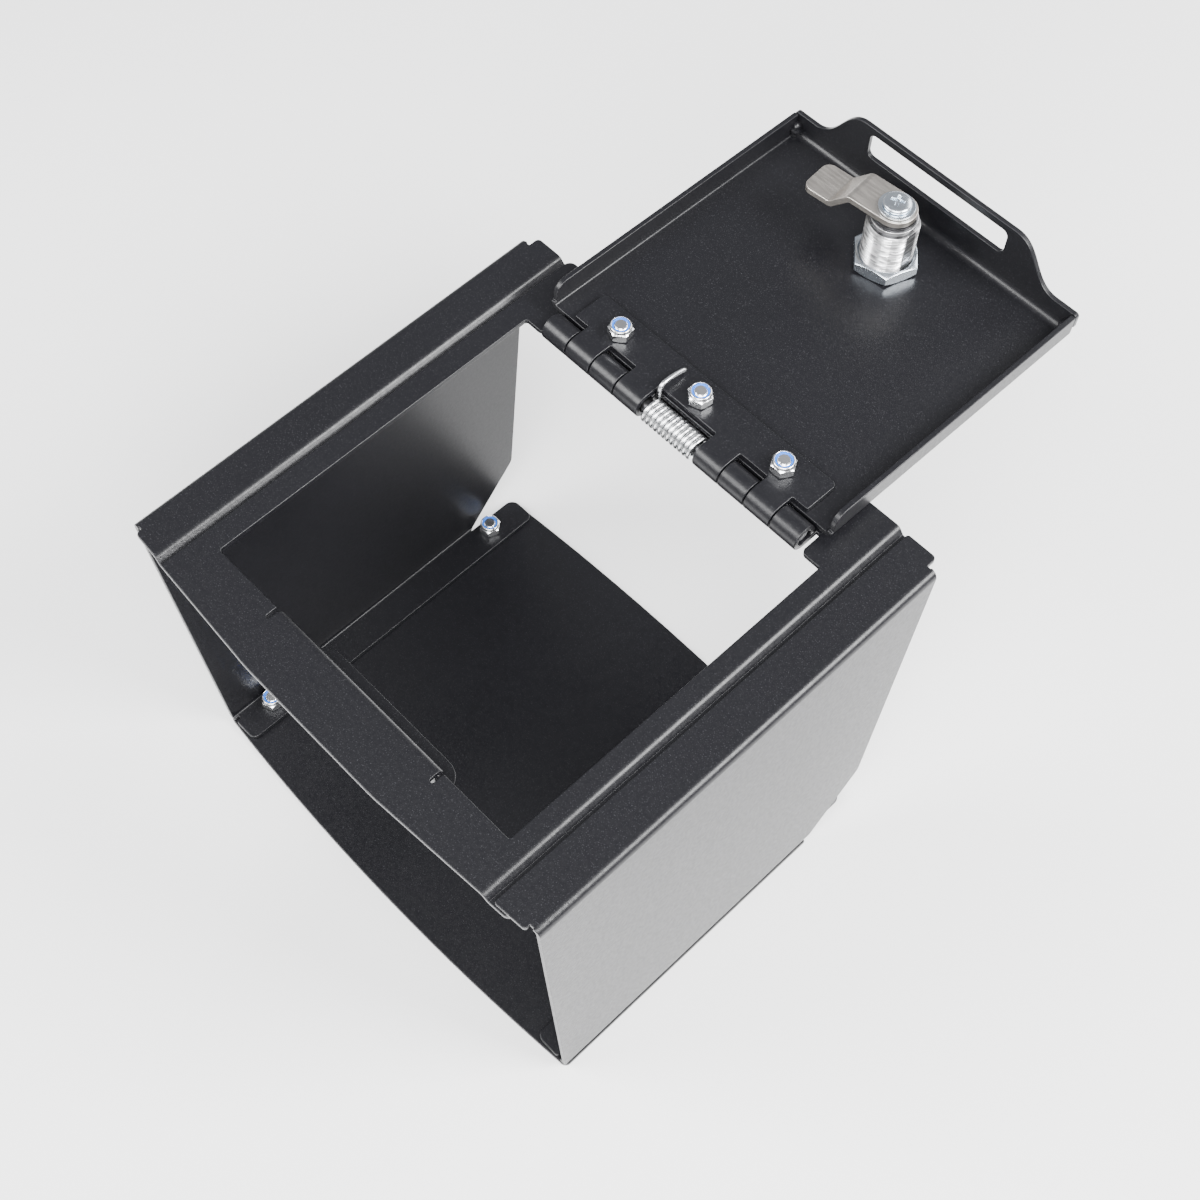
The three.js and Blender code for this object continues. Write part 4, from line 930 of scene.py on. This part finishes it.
def hinge_leaf(d):
    """Plate on the lid with four tongues rolled down round the pin, in the lid's own frame."""
    mid_roll = d.knuckle - d.sheet / 2
    roll_runs, roll_arcs, roll_far = rolled_path(30, mid_roll, mid_roll, -math.radians(ROLL_TURN))
    half = LEAF_WIDTH / 2
    tongues = [(x, y, 0.5) if y == LEAF_START else (x, y, *r)
               for x, y, *r in tongue_corners(d, (0, 2), LEAF_START, -roll_far)]
    blank = rounded([(-half, LEAF_START, 0.8), *tongues, (half, LEAF_START, 0.8), (half, LEAF_REACH, 2),
                     (-half, LEAF_REACH, 2)])

    def place(u, v, w):
        roll = v < 0
        roll_y, roll_z = bent(roll_runs, -v, w)
        return stacked(u + 0 * w, np.where(roll, -roll_y, v), np.where(roll, roll_z, mid_roll + w))

    lines = bend_lines(roll_arcs, 1, -WIDE, WIDE, 0.0, -1, 10.0)
    return bent_sheet([blank, *bolt_holes(d)], d.sheet, d.edge, place, lines)


# Shapes of the small parts

def lock_nut_shape():
    """Nylon-insert nut on a closed profile: bore, chamfered hexagon, round collar and rolled-in crown. Where
    a chamfer cone meets a side, the height follows the side's distance from the axis."""
    t = np.linspace(0, 2 * math.pi, 120, endpoint=False)
    rim = NUT_FLATS / 2
    side = hexagon_radius(t, NUT_FLATS)
    foot = 0.5 * (side - rim) / 0.8
    brow = NUT_HEX - 0.5 + 0.5 * (0.8 + rim - side) / 0.95
    roll = 0.55
    crown = [(NUT_COLLAR - roll + roll * math.cos(q), NUT_HEIGHT - roll + roll * math.sin(q))
             for q in np.linspace(0, math.pi / 2, 7)]
    return ring_of_rows([
        (NUT_BORE, 0.3), (NUT_LEAD, 0), (rim - 0.12, 0), (side, foot + 0.04), (side, (foot + brow) / 2),
        (side, brow - 0.05), (side - 0.06, brow), (NUT_COLLAR + 0.12, NUT_HEX - 0.02),
        (NUT_COLLAR, NUT_HEX + 0.12), *crown, (NUT_RECESS - 0.12, NUT_HEIGHT - 0.04),
        (NUT_RECESS - 0.16, NUT_HEIGHT - 0.2), (NUT_RECESS - 0.16, NUT_HEX), (NUT_BORE, NUT_HEX)], t)


def nylon_ring():
    """Insert ring with a softly domed top face."""
    low, high, outer, inner = NUT_HEX + 0.18, NUT_HEIGHT - 0.22, NUT_RECESS - 0.17, NUT_BORE
    middle = (low + high) / 2
    return soft_ring([(inner, middle), (inner, low), (outer, low), (outer, high - 0.05),
                      (inner + 0.25, high), (inner, high - 0.2), (inner, middle)], 0.15, 72)


def bolt_shape(d, under, top, head):
    """Bolt or stud: the head's profile, a plain shank, and a thread over the upper part."""
    start = top - 6.0
    lower = turned([*head, (2.3, under), (2.3, start)], 48)
    rod = grid_surface(threaded(d.bolt, 0.42, d.bolt_pitch, start, top, 0.55, 48, 8))
    return together(lower, rod)


def dome_head(radius, height, under):
    """Round head below the plate: radius sin a, under - 0.4 - (height - 0.4) cos a."""
    a = np.linspace(0, math.pi / 2, 12)
    dome = list(zip(radius * np.sin(a), under - 0.4 - (height - 0.4) * np.cos(a)))
    return [*dome[1:], (radius - 0.12, under)]


def spring_shape(d):
    """Torsion spring as one wire. The coil is y = R cos t, z = -R sin t - sag, x = pitch t / turn, and hangs
    a little below the pin's axis. Each leg leaves it through a quarter circle. The left one rises past the
    leaf's edge and runs down onto the leaf as z = top - 0.023 (y - y0)^2; the right one lies under the
    band."""
    wire, reach, bend, sag, lean = d.wire / 2, d.coil_turns * d.coil_pitch / 2, 2.4, 0.5, 0.6
    top, under_band = d.knuckle + SEAT + wire + 1.9, -HINGE_RISE - d.sheet - SEAT - wire
    t = np.linspace(0, 2 * math.pi * d.coil_turns, 36 * d.coil_turns + 1)
    q = np.linspace(0, math.pi / 2, 12)
    foot = d.coil + lean
    run = np.linspace(16.6, foot + bend, 12)[:-1]
    lid_y = np.concatenate([run, foot + bend * (1 - np.sin(q)), np.linspace(foot, d.coil, 7)[1:-1]])
    lid_z = np.concatenate([top - 0.023 * (run - foot - bend) ** 2, top - bend * (1 - np.cos(q)),
                            np.linspace(top - bend, -sag, 7)[1:-1]])
    box_y = np.concatenate([d.coil + bend * (1 - np.cos(q)), np.linspace(d.coil + bend, 15, 10)[1:]])
    box_z = np.concatenate([under_band + bend * (1 - np.sin(q)), np.full(9, under_band)])
    drop = np.linspace(-0.2 - sag, box_z[0], 6)[:-1]
    x = np.concatenate([np.full(len(lid_y), -reach), d.coil_pitch * t / (2 * math.pi) - reach,
                        np.full(5 + len(box_y), reach)])
    y = np.concatenate([lid_y, d.coil * np.cos(t), np.full(5, d.coil), box_y])
    z = np.concatenate([lid_z, -d.coil * np.sin(t) - sag, drop, box_z])
    return swept(stacked(x, y + HINGE_Y, z + d.axis_z), wire)


def housing_shape(d):
    """Cam-lock body: head on the lid's outer face, barrel with a thread and two flats, bore for the plug."""
    outer = -d.sheet - SEAT
    face, bore = outer - LOCK_HEAD_HEIGHT, PLUG_BORE
    head = soft_ring([(bore, outer - 1.5), (bore, face + 0.5), (PLUG + 0.8, face), (LOCK_HEAD - 1.2, face),
                      (LOCK_HEAD, face + 1.2), (LOCK_HEAD, outer), (bore, outer), (bore, outer - 1.5)],
                     0.3, 96)
    top = d.barrel_top - NECK
    skin = threaded(d.barrel, 0.75, d.barrel_pitch, outer - 0.4, top, 0.4, 144, 9, BARREL_FLATS, 3.0)
    t = np.linspace(0, 2 * math.pi, skin.shape[1], endpoint=False)
    ring = stacked(np.cos(t), np.sin(t), 0 * t)
    lip = np.array([bore * ring + [0, 0, z] for z in (top, top - 4, outer - 0.4)])
    barrel = grid_surface(np.concatenate([skin, lip]), ring=True)
    return together(head, barrel)


def stop_lug(d):
    """Raised part of the barrel's end that stops the washer's tab: a ring sector from 157 to 383 degrees."""
    gap = math.radians(134)
    first = math.pi / 2 + gap / 2
    a = np.linspace(first, first + 2 * math.pi - gap, 60)
    outer, inner = STOP_REACH, STOP_DISC + 0.25
    loop = np.concatenate([np.stack([outer * np.cos(a), outer * np.sin(a)], 1),
                           np.stack([inner * np.cos(a), inner * np.sin(a)], 1)[::-1]])
    middle = d.barrel_top + STOP_HEIGHT / 2
    return bent_sheet([loop], STOP_HEIGHT, 0.12, lambda u, v, w: stacked(u, v, middle + w))[:2]


def clamp_nut_shape(d):
    """Large hexagon nut: chamfer cones cut its corners at both faces."""
    t = np.radians(LOCK_NUT_TURN) + np.linspace(0, 2 * math.pi, 180, endpoint=False)
    side = hexagon_radius(t, LOCK_NUT_FLATS, LOCK_NUT_TURN)
    rim, low, high = LOCK_NUT_FLATS / 2, SEAT, SEAT + LOCK_NUT_HEIGHT
    drop = 1.1 * (side - rim) / 2
    bore = d.barrel + FIT
    return ring_of_rows([
        (bore, low + 0.6), (bore + 0.5, low), (rim - 0.3, low), (side, low + drop + 0.03),
        (side, (low + high) / 2), (side, high - drop - 0.12), (side - 0.10, high - drop - 0.03),
        (rim - 0.25, high), (bore + 0.6, high), (bore, high - 0.6)], t)


def plug_shape(d):
    """Turning core: face with a keyway slot, body, and the squared end that carries washer and cam."""
    face = -d.sheet - SEAT - LOCK_HEAD_HEIGHT + SEAT
    keyway = clockwise(rounded([(-0.9, -3.75, 0.3), (-0.9, 3.75, 0.3), (0.9, 3.75, 0.3), (0.9, -3.75, 0.3)]))
    disc = round_hole(0, 0, PLUG, 72)[::-1]
    front = bent_sheet([disc, keyway], 6.0, 0.25, lambda u, v, w: stacked(u, v, face + 3.0 + w))[:2]
    core = turned([(PLUG - 0.05, face + 5.9), (PLUG - 0.05, d.barrel_top - 0.2),
                   (PLUG - 0.3, d.barrel_top)], 72)
    end = flat_round(0, 0, SQUARE_ROUND, SQUARE)
    thick = d.cam_top - 0.3 - d.barrel_top + 1
    middle = d.barrel_top - 1 + thick / 2
    square = bent_sheet([end], thick, 0.2, lambda u, v, w: stacked(u, v, middle + w))[:2]
    return together(front, core, square)


def stop_washer_shape(d):
    """Disc with one tab that swings between the barrel's stops."""
    a = np.radians(np.linspace(115, 155, 9))
    b = np.radians(np.linspace(160, 470, 70))
    loop = np.concatenate([STOP_REACH * np.stack([np.cos(a), np.sin(a)], 1),
                           STOP_DISC * np.stack([np.cos(b), np.sin(b)], 1)])
    hole = flat_round(0, 0, SQUARE_ROUND + FIT, SQUARE + 2 * FIT)[::-1]
    middle = d.stop_low + STOP_THICKNESS / 2
    return bent_sheet([loop, hole], STOP_THICKNESS, 0.15, lambda u, v, w: stacked(u, v, middle + w))


def cam_shape(d):
    """Cranked cam: round end on the plug, a step down towards the lid, and a paddle with rounded corners."""
    mid = d.cam_top - CAM_SHEET / 2
    inner = CAM_SHEET / 2 + 1.2
    runs, arcs, far = bend_path([(-d.cam_width, mid), (CRANK_START, mid, inner),
                                 (CRANK_END, mid - CRANK_DROP, inner), (d.cam_length, mid - CRANK_DROP)])
    tip, half = far - d.cam_width, d.cam_width / 2
    a = np.linspace(math.pi / 2, 3 * math.pi / 2, 36)
    head = list(half * np.stack([np.cos(a), np.sin(a)], 1))
    loop = rounded([*head, (tip, -half, CAM_TIP), (tip, half, CAM_TIP)])
    hole = flat_round(0, 0, SQUARE_ROUND + FIT, SQUARE + 2 * FIT)[::-1]

    def place(u, v, w):
        x, z = bent(runs, u + d.cam_width, w)
        return stacked(x, v, z)

    return bent_sheet([loop, hole], CAM_SHEET, 0.3, place, bend_lines(arcs, 0, -100, 100, -d.cam_width))


def screw_shape(d):
    """Pan head with a cross recess. Height = crown(r) - depth * arm, where arm is 1 inside a tapered cross
    |x| < w(r) or |y| < w(r) and falls off softly at its walls and ends."""
    base = d.cam_top + SEAT + CAM_WASHER_HEIGHT + SEAT
    r = np.concatenate([np.linspace(0.05, 3.2, 46), np.linspace(3.3, SCREW_HEAD, 16)])[::-1][:, None]
    t = np.linspace(0, 2 * math.pi, 160, endpoint=False)[None]
    share = np.clip(r / SCREW_HEAD, 0, 1)
    crown = base + 0.7 + (SCREW_HEAD_HEIGHT - 0.7) * (1 - share ** 3.2) ** (1 / 2.2)
    x, y = r * np.cos(t), r * np.sin(t)
    arm = 0.62 - 0.05 * r
    near = np.minimum(np.abs(x), np.abs(y))
    far = np.maximum(np.abs(x), np.abs(y))
    walls = np.clip((arm - near) / 0.22 + 0.5, 0, 1)
    ends = np.clip((2.55 - far) / 0.7, 0, 1)
    depth = 1.25 * np.maximum(walls * ends, np.clip((1.25 - np.hypot(x, y)) / 0.5, 0, 1))
    z = crown - depth
    skirt = np.array([(SCREW_HEAD - 0.25, base), (SCREW_HEAD - 0.02, base + 0.12), (SCREW_HEAD, base + 0.4)])
    lower = stacked(skirt[:, :1] * np.cos(t), skirt[:, :1] * np.sin(t), skirt[:, 1:] + 0 * t)
    head = grid_surface(np.concatenate([lower, stacked(x, y, z)]))
    shank = turned([(1.2, base - 8.8), (1.7, base - 8.4), (1.7, base + 0.1)], 36)
    return together(shank, head)


# Operators

def settings(context):
    return Lengths(context), context.scene.safe_finish


def require(body):
    if body not in frame["bodies"]:
        raise RuntimeError(f"the frame has no body {body}")


def lock_nut(finish, body, name, node, i, seat):
    """One nylon-insert nut with its ring."""
    finished(f"{name}_{i}", lock_nut_shape(), body, f"{node}_{i}", bright_zinc(finish),
             seat, 32)
    finished(f"{name}_insert_{i}", nylon_ring(), body, f"{node}_ring_{i}", blue_nylon(finish),
             seat, 50)


class SAFE_OT_side_panels(Operator):
    """Build both folded side panels"""
    bl_idname = "safe.side_panels"
    bl_label = "Side Panels"

    def execute(self, context):
        d, finish = settings(context)
        require("box")
        for side, sign in (("left", -1), ("right", 1)):
            finished(f"{side}_panel_folded", side_panel(d, sign), "box", f"{side}_side_panel",
                     powder_coat(finish))
        return {"FINISHED"}


class SAFE_OT_top_frame(Operator):
    """Build the top band with its strike tab and rolled knuckles"""
    bl_idname = "safe.top_frame"
    bl_label = "Top Frame"

    def execute(self, context):
        d, finish = settings(context)
        finished("top_frame_folded", top_frame(d), "box", "top_frame", powder_coat(finish))
        return {"FINISHED"}


class SAFE_OT_floor_plate(Operator):
    """Build the floor plate"""
    bl_idname = "safe.floor_plate"
    bl_label = "Floor Plate"

    def execute(self, context):
        d, finish = settings(context)
        finished("floor_plate_bowed", floor_plate(d), "box", "floor_plate",
                 powder_coat(finish))
        return {"FINISHED"}


class SAFE_OT_floor_fasteners(Operator):
    """Build the four studs with their nylon-insert nuts"""
    bl_idname = "safe.floor_fasteners"
    bl_label = "Floor Fasteners"

    def execute(self, context):
        d, finish = settings(context)
        places = [(-1, STUD_FRONT), (1, STUD_FRONT), (-1, STUD_REAR), (1, STUD_REAR)]
        top = d.nut_base + NUT_HEIGHT + STUD_TIP
        for i, (sign, y) in enumerate(places, 1):
            spot = Matrix.Translation((sign * d.stud_x, y, 0)) @ Matrix.Rotation(0.4 * i, 4, "Z")
            seat = spot @ Matrix.Translation((0, 0, d.nut_base))
            head = [(3.7, 0), (3.9, 0.2), (3.9, 1.2), (3.7, 1.4)]
            finished(f"stud_{i}", bolt_shape(d, 1.4, top, head), "box", f"floor_stud_{i}",
                     bright_zinc(finish), spot, 32)
            lock_nut(finish, "box", "stud_nut", "floor_nut", i, seat)
        return {"FINISHED"}


class SAFE_OT_hinge_pin(Operator):
    """Build the hinge pin"""
    bl_idname = "safe.hinge_pin"
    bl_label = "Hinge Pin"

    def execute(self, context):
        d, finish = settings(context)
        half = knuckle_ends(d, 3)[1] - 0.9
        shape = turned(soft_corners([
            (0.2, -half), (d.pin - 0.5, -half), (d.pin, -half + 0.5), (d.pin, half - 0.5),
            (d.pin - 0.5, half), (0.2, half)], 0.2), 64)
        place = Matrix.Translation((0, HINGE_Y, d.axis_z)) @ Matrix.Rotation(math.pi / 2, 4, "Y")
        finished("hinge_pin_rod", shape, "box", "hinge_pin", pin_steel(finish), place, 35)
        return {"FINISHED"}


class SAFE_OT_hinge_spring(Operator):
    """Build the torsion spring, which twists between the box and the lid"""
    bl_idname = "safe.hinge_spring"
    bl_label = "Hinge Spring"

    def execute(self, context):
        d, finish = settings(context)
        spring = finished("torsion_spring", spring_shape(d), None, "hinge_spring",
                          spring_zinc(finish))
        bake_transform(spring)
        return {"FINISHED"}


class SAFE_OT_lid_tray(Operator):
    """Build the lid tray with its slotted front flange and welded corners"""
    bl_idname = "safe.lid_tray"
    bl_label = "Lid Tray"

    def execute(self, context):
        d, finish = settings(context)
        require("lid")
        place, coat = d.lid_frame(), powder_coat(finish)
        finished("lid_tray_folded", lid_tray(d), "lid", "lid_tray", coat, place)
        finished("lid_corner_welds", weld_lumps(d), "lid", "lid_tray", coat, place)
        return {"FINISHED"}


class SAFE_OT_hinge_leaf(Operator):
    """Build the hinge leaf with its rolled knuckles"""
    bl_idname = "safe.hinge_leaf"
    bl_label = "Hinge Leaf"

    def execute(self, context):
        d, finish = settings(context)
        finished("hinge_leaf_rolled", hinge_leaf(d), "lid", "hinge_leaf", powder_coat(finish),
                 d.lid_frame())
        return {"FINISHED"}


class SAFE_OT_leaf_fasteners(Operator):
    """Build the three bolts that hold the leaf, with their nylon-insert nuts"""
    bl_idname = "safe.leaf_fasteners"
    bl_label = "Leaf Fasteners"

    def execute(self, context):
        d, finish = settings(context)
        under = d.lid_inner - d.sheet - SEAT
        base = d.knuckle + SEAT
        top = base + NUT_HEIGHT + STUD_TIP
        for i, x in enumerate((-BOLT_SPACING, 0, BOLT_SPACING), 1):
            spot = (d.lid_frame() @ Matrix.Translation((x, d.lid_rear + BOLT_INSET, 0))
                    @ Matrix.Rotation(0.7 * i, 4, "Z"))
            seat = spot @ Matrix.Translation((0, 0, base))
            finished(f"leaf_bolt_{i}", bolt_shape(d, under, top, dome_head(4.75, 2.5, under)), "lid",
                     f"hinge_bolt_{i}", bright_zinc(finish), spot, 32)
            lock_nut(finish, "lid", "leaf_nut", "hinge_nut", i, seat)
        return {"FINISHED"}


class SAFE_OT_lock_body(Operator):
    """Build the threaded lock barrel and its clamping nut"""
    bl_idname = "safe.lock_body"
    bl_label = "Lock Body"

    def execute(self, context):
        d, finish = settings(context)
        place = d.lock_frame()
        finished("lock_barrel_threaded", housing_shape(d), "lid", "lock_housing",
                 lock_plating(finish), place, 34)
        # Painted shade: the neck below the stop washer and the stop lug take the dark pin steel finish instead
        # of the barrel's plating, to stand for the shade in that groove.
        bore, low, high = PLUG_BORE, d.barrel_top - NECK - 0.2, d.barrel_top + 0.1
        neck = turned([(bore, low + 0.3), (bore, low), (7.5, low), (7.5, high), (bore, high)], 72, ring=True)
        finished("lock_barrel_neck", together(neck, stop_lug(d)), "lid", "lock_housing",
                 pin_steel(finish), place, 34)
        low, high = d.barrel_top - 1.7, d.barrel_top - 0.2
        collar = soft_ring([(7.3, low + 0.5), (7.3, low), (8.35, low), (8.35, high), (7.3, high),
                            (7.3, low + 0.5)], 0.2, 96)
        finished("lock_barrel_collar", collar, "lid", "lock_housing", lock_plating(finish),
                 place, 34)
        finished("lock_clamp_nut", clamp_nut_shape(d), "lid", "lock_nut",
                 bluish_zinc(finish), place, 28)
        return {"FINISHED"}


class SAFE_OT_lock_core(Operator):
    """Build the turning parts: plug, stop washer, cam, washer and screw"""
    bl_idname = "safe.lock_core"
    bl_label = "Lock Core"

    def execute(self, context):
        d, finish = settings(context)
        require("lock")
        place = d.lock_frame()
        turned_place = place @ Matrix.Rotation(math.radians(CAM_REST), 4, "Z")
        finished("lock_plug_core", plug_shape(d), "lock", "lock_plug", lock_plating(finish),
                 place, 34)
        finished("lock_stop_washer", stop_washer_shape(d), "lock", "stop_washer",
                 pin_steel(finish), place)
        finished("lock_cam_cranked", cam_shape(d), "lock", "lock_cam", cam_steel(finish),
                 turned_place)
        low, high, zinc = d.cam_top + SEAT, d.cam_top + SEAT + CAM_WASHER_HEIGHT, bluish_zinc(finish)
        washer = soft_ring([(2.0, low + 0.4), (2.0, low), (CAM_WASHER, low), (CAM_WASHER, high), (2.0, high),
                            (2.0, low + 0.4)], 0.15, 80)
        finished("cam_plain_washer", washer, "lock", "cam_washer", zinc, place, 34)
        finished("cam_cross_screw", screw_shape(d), "lock", "cam_screw", zinc,
                 turned_place @ Matrix.Rotation(0.35, 4, "Z"), 40)
        return {"FINISHED"}


def soft_light(name, place, target, size, power, tone=(1, 1, 1)):
    """Square area light that faces a target."""
    light = bpy.data.lights.new(name, "AREA")
    light.shape, light.size, light.energy, light.color = "SQUARE", size, power, tone
    lamp = bpy.data.objects.new(name, light)
    lamp.location = place
    lamp.rotation_euler = (Vector(target) - Vector(place)).to_track_quat("-Z", "Y").to_euler()
    bpy.context.scene.collection.objects.link(lamp)


class SAFE_OT_stage(Operator):
    """Build the floor, the lights and the camera"""
    bl_idname = "safe.stage"
    bl_label = "Stage"

    def execute(self, context):
        scene, finish = context.scene, context.scene.safe_finish
        mesh = bpy.data.meshes.new("studio_floor")
        mesh.from_pydata([(-4, -4, 0), (4, -4, 0), (4, 4, 0), (-4, 4, 0)], [], [(0, 1, 2, 3)])
        mesh.materials.append(studio_floor(finish))
        ground = bpy.data.objects.new("studio_floor", mesh)
        scene.collection.objects.link(ground)
        world = bpy.data.worlds.new("studio_world")
        world.use_nodes = True
        background = world.node_tree.nodes["Background"]
        background.inputs["Color"].default_value = (0.95, 0.96, 1.0, 1)
        background.inputs["Strength"].default_value = 0.45
        scene.world = world
        middle = (0, 0.05, 0.1)
        soft_light("camera_light", (0.70, -0.75, 1.30), middle, 1.2, 70)
        soft_light("right_light", (0.92, 0.54, 1.05), middle, 0.65, 42)
        soft_light("left_light", (-0.75, -0.90, 1.05), middle, 0.8, 30)
        soft_light("rear_light", (0.25, 1.50, 0.65), middle, 1.0, 14)
        data = bpy.data.cameras.new("studio_camera")
        data.lens, data.sensor_width, data.sensor_fit = 56.13, 36.0, "HORIZONTAL"
        data.clip_start, data.clip_end = 0.01, 50
        camera = bpy.data.objects.new("studio_camera", data)
        camera.location = (0.2402, -0.1949, 0.6750)
        camera.rotation_euler = Vector((-0.3547, 0.3406, -0.8708)).to_track_quat("-Z", "Y").to_euler()
        scene.collection.objects.link(camera)
        scene.camera = camera
        return {"FINISHED"}


class SAFE_PT_panel(Panel):
    """Lists the safe's builders, sizes and colours"""
    bl_label = "Console Safe"
    bl_idname = "SAFE_PT_panel"
    bl_space_type = "VIEW_3D"
    bl_region_type = "UI"
    bl_category = "Safe"

    def draw(self, context):
        layout = self.layout
        column = layout.column(align=True)
        for builder in BUILDERS:
            column.operator(builder.bl_idname)
        for group in (context.scene.safe_sizes, context.scene.safe_finish):
            box = layout.box()
            for key in group.__annotations__:
                box.prop(group, key)


BUILDERS = (
    SAFE_OT_stage, SAFE_OT_side_panels, SAFE_OT_top_frame, SAFE_OT_floor_plate, SAFE_OT_floor_fasteners,
    SAFE_OT_hinge_pin, SAFE_OT_hinge_spring, SAFE_OT_lid_tray, SAFE_OT_hinge_leaf, SAFE_OT_leaf_fasteners,
    SAFE_OT_lock_body, SAFE_OT_lock_core,
)
CLASSES = (SafeSizes, SafeFinish, *BUILDERS, SAFE_PT_panel)


def register():
    for cls in CLASSES:
        bpy.utils.register_class(cls)
    bpy.types.Scene.safe_sizes = PointerProperty(type=SafeSizes)
    bpy.types.Scene.safe_finish = PointerProperty(type=SafeFinish)


def unregister():
    del bpy.types.Scene.safe_finish
    del bpy.types.Scene.safe_sizes
    for cls in reversed(CLASSES):
        bpy.utils.unregister_class(cls)


def main():
    register()
    for builder in BUILDERS:
        group, name = builder.bl_idname.split(".")
        if getattr(getattr(bpy.ops, group), name)() != {"FINISHED"}:
            raise RuntimeError(f"{builder.bl_label} did not finish")
    bpy.context.view_layer.update()


if __name__ == "__main__":
    main()
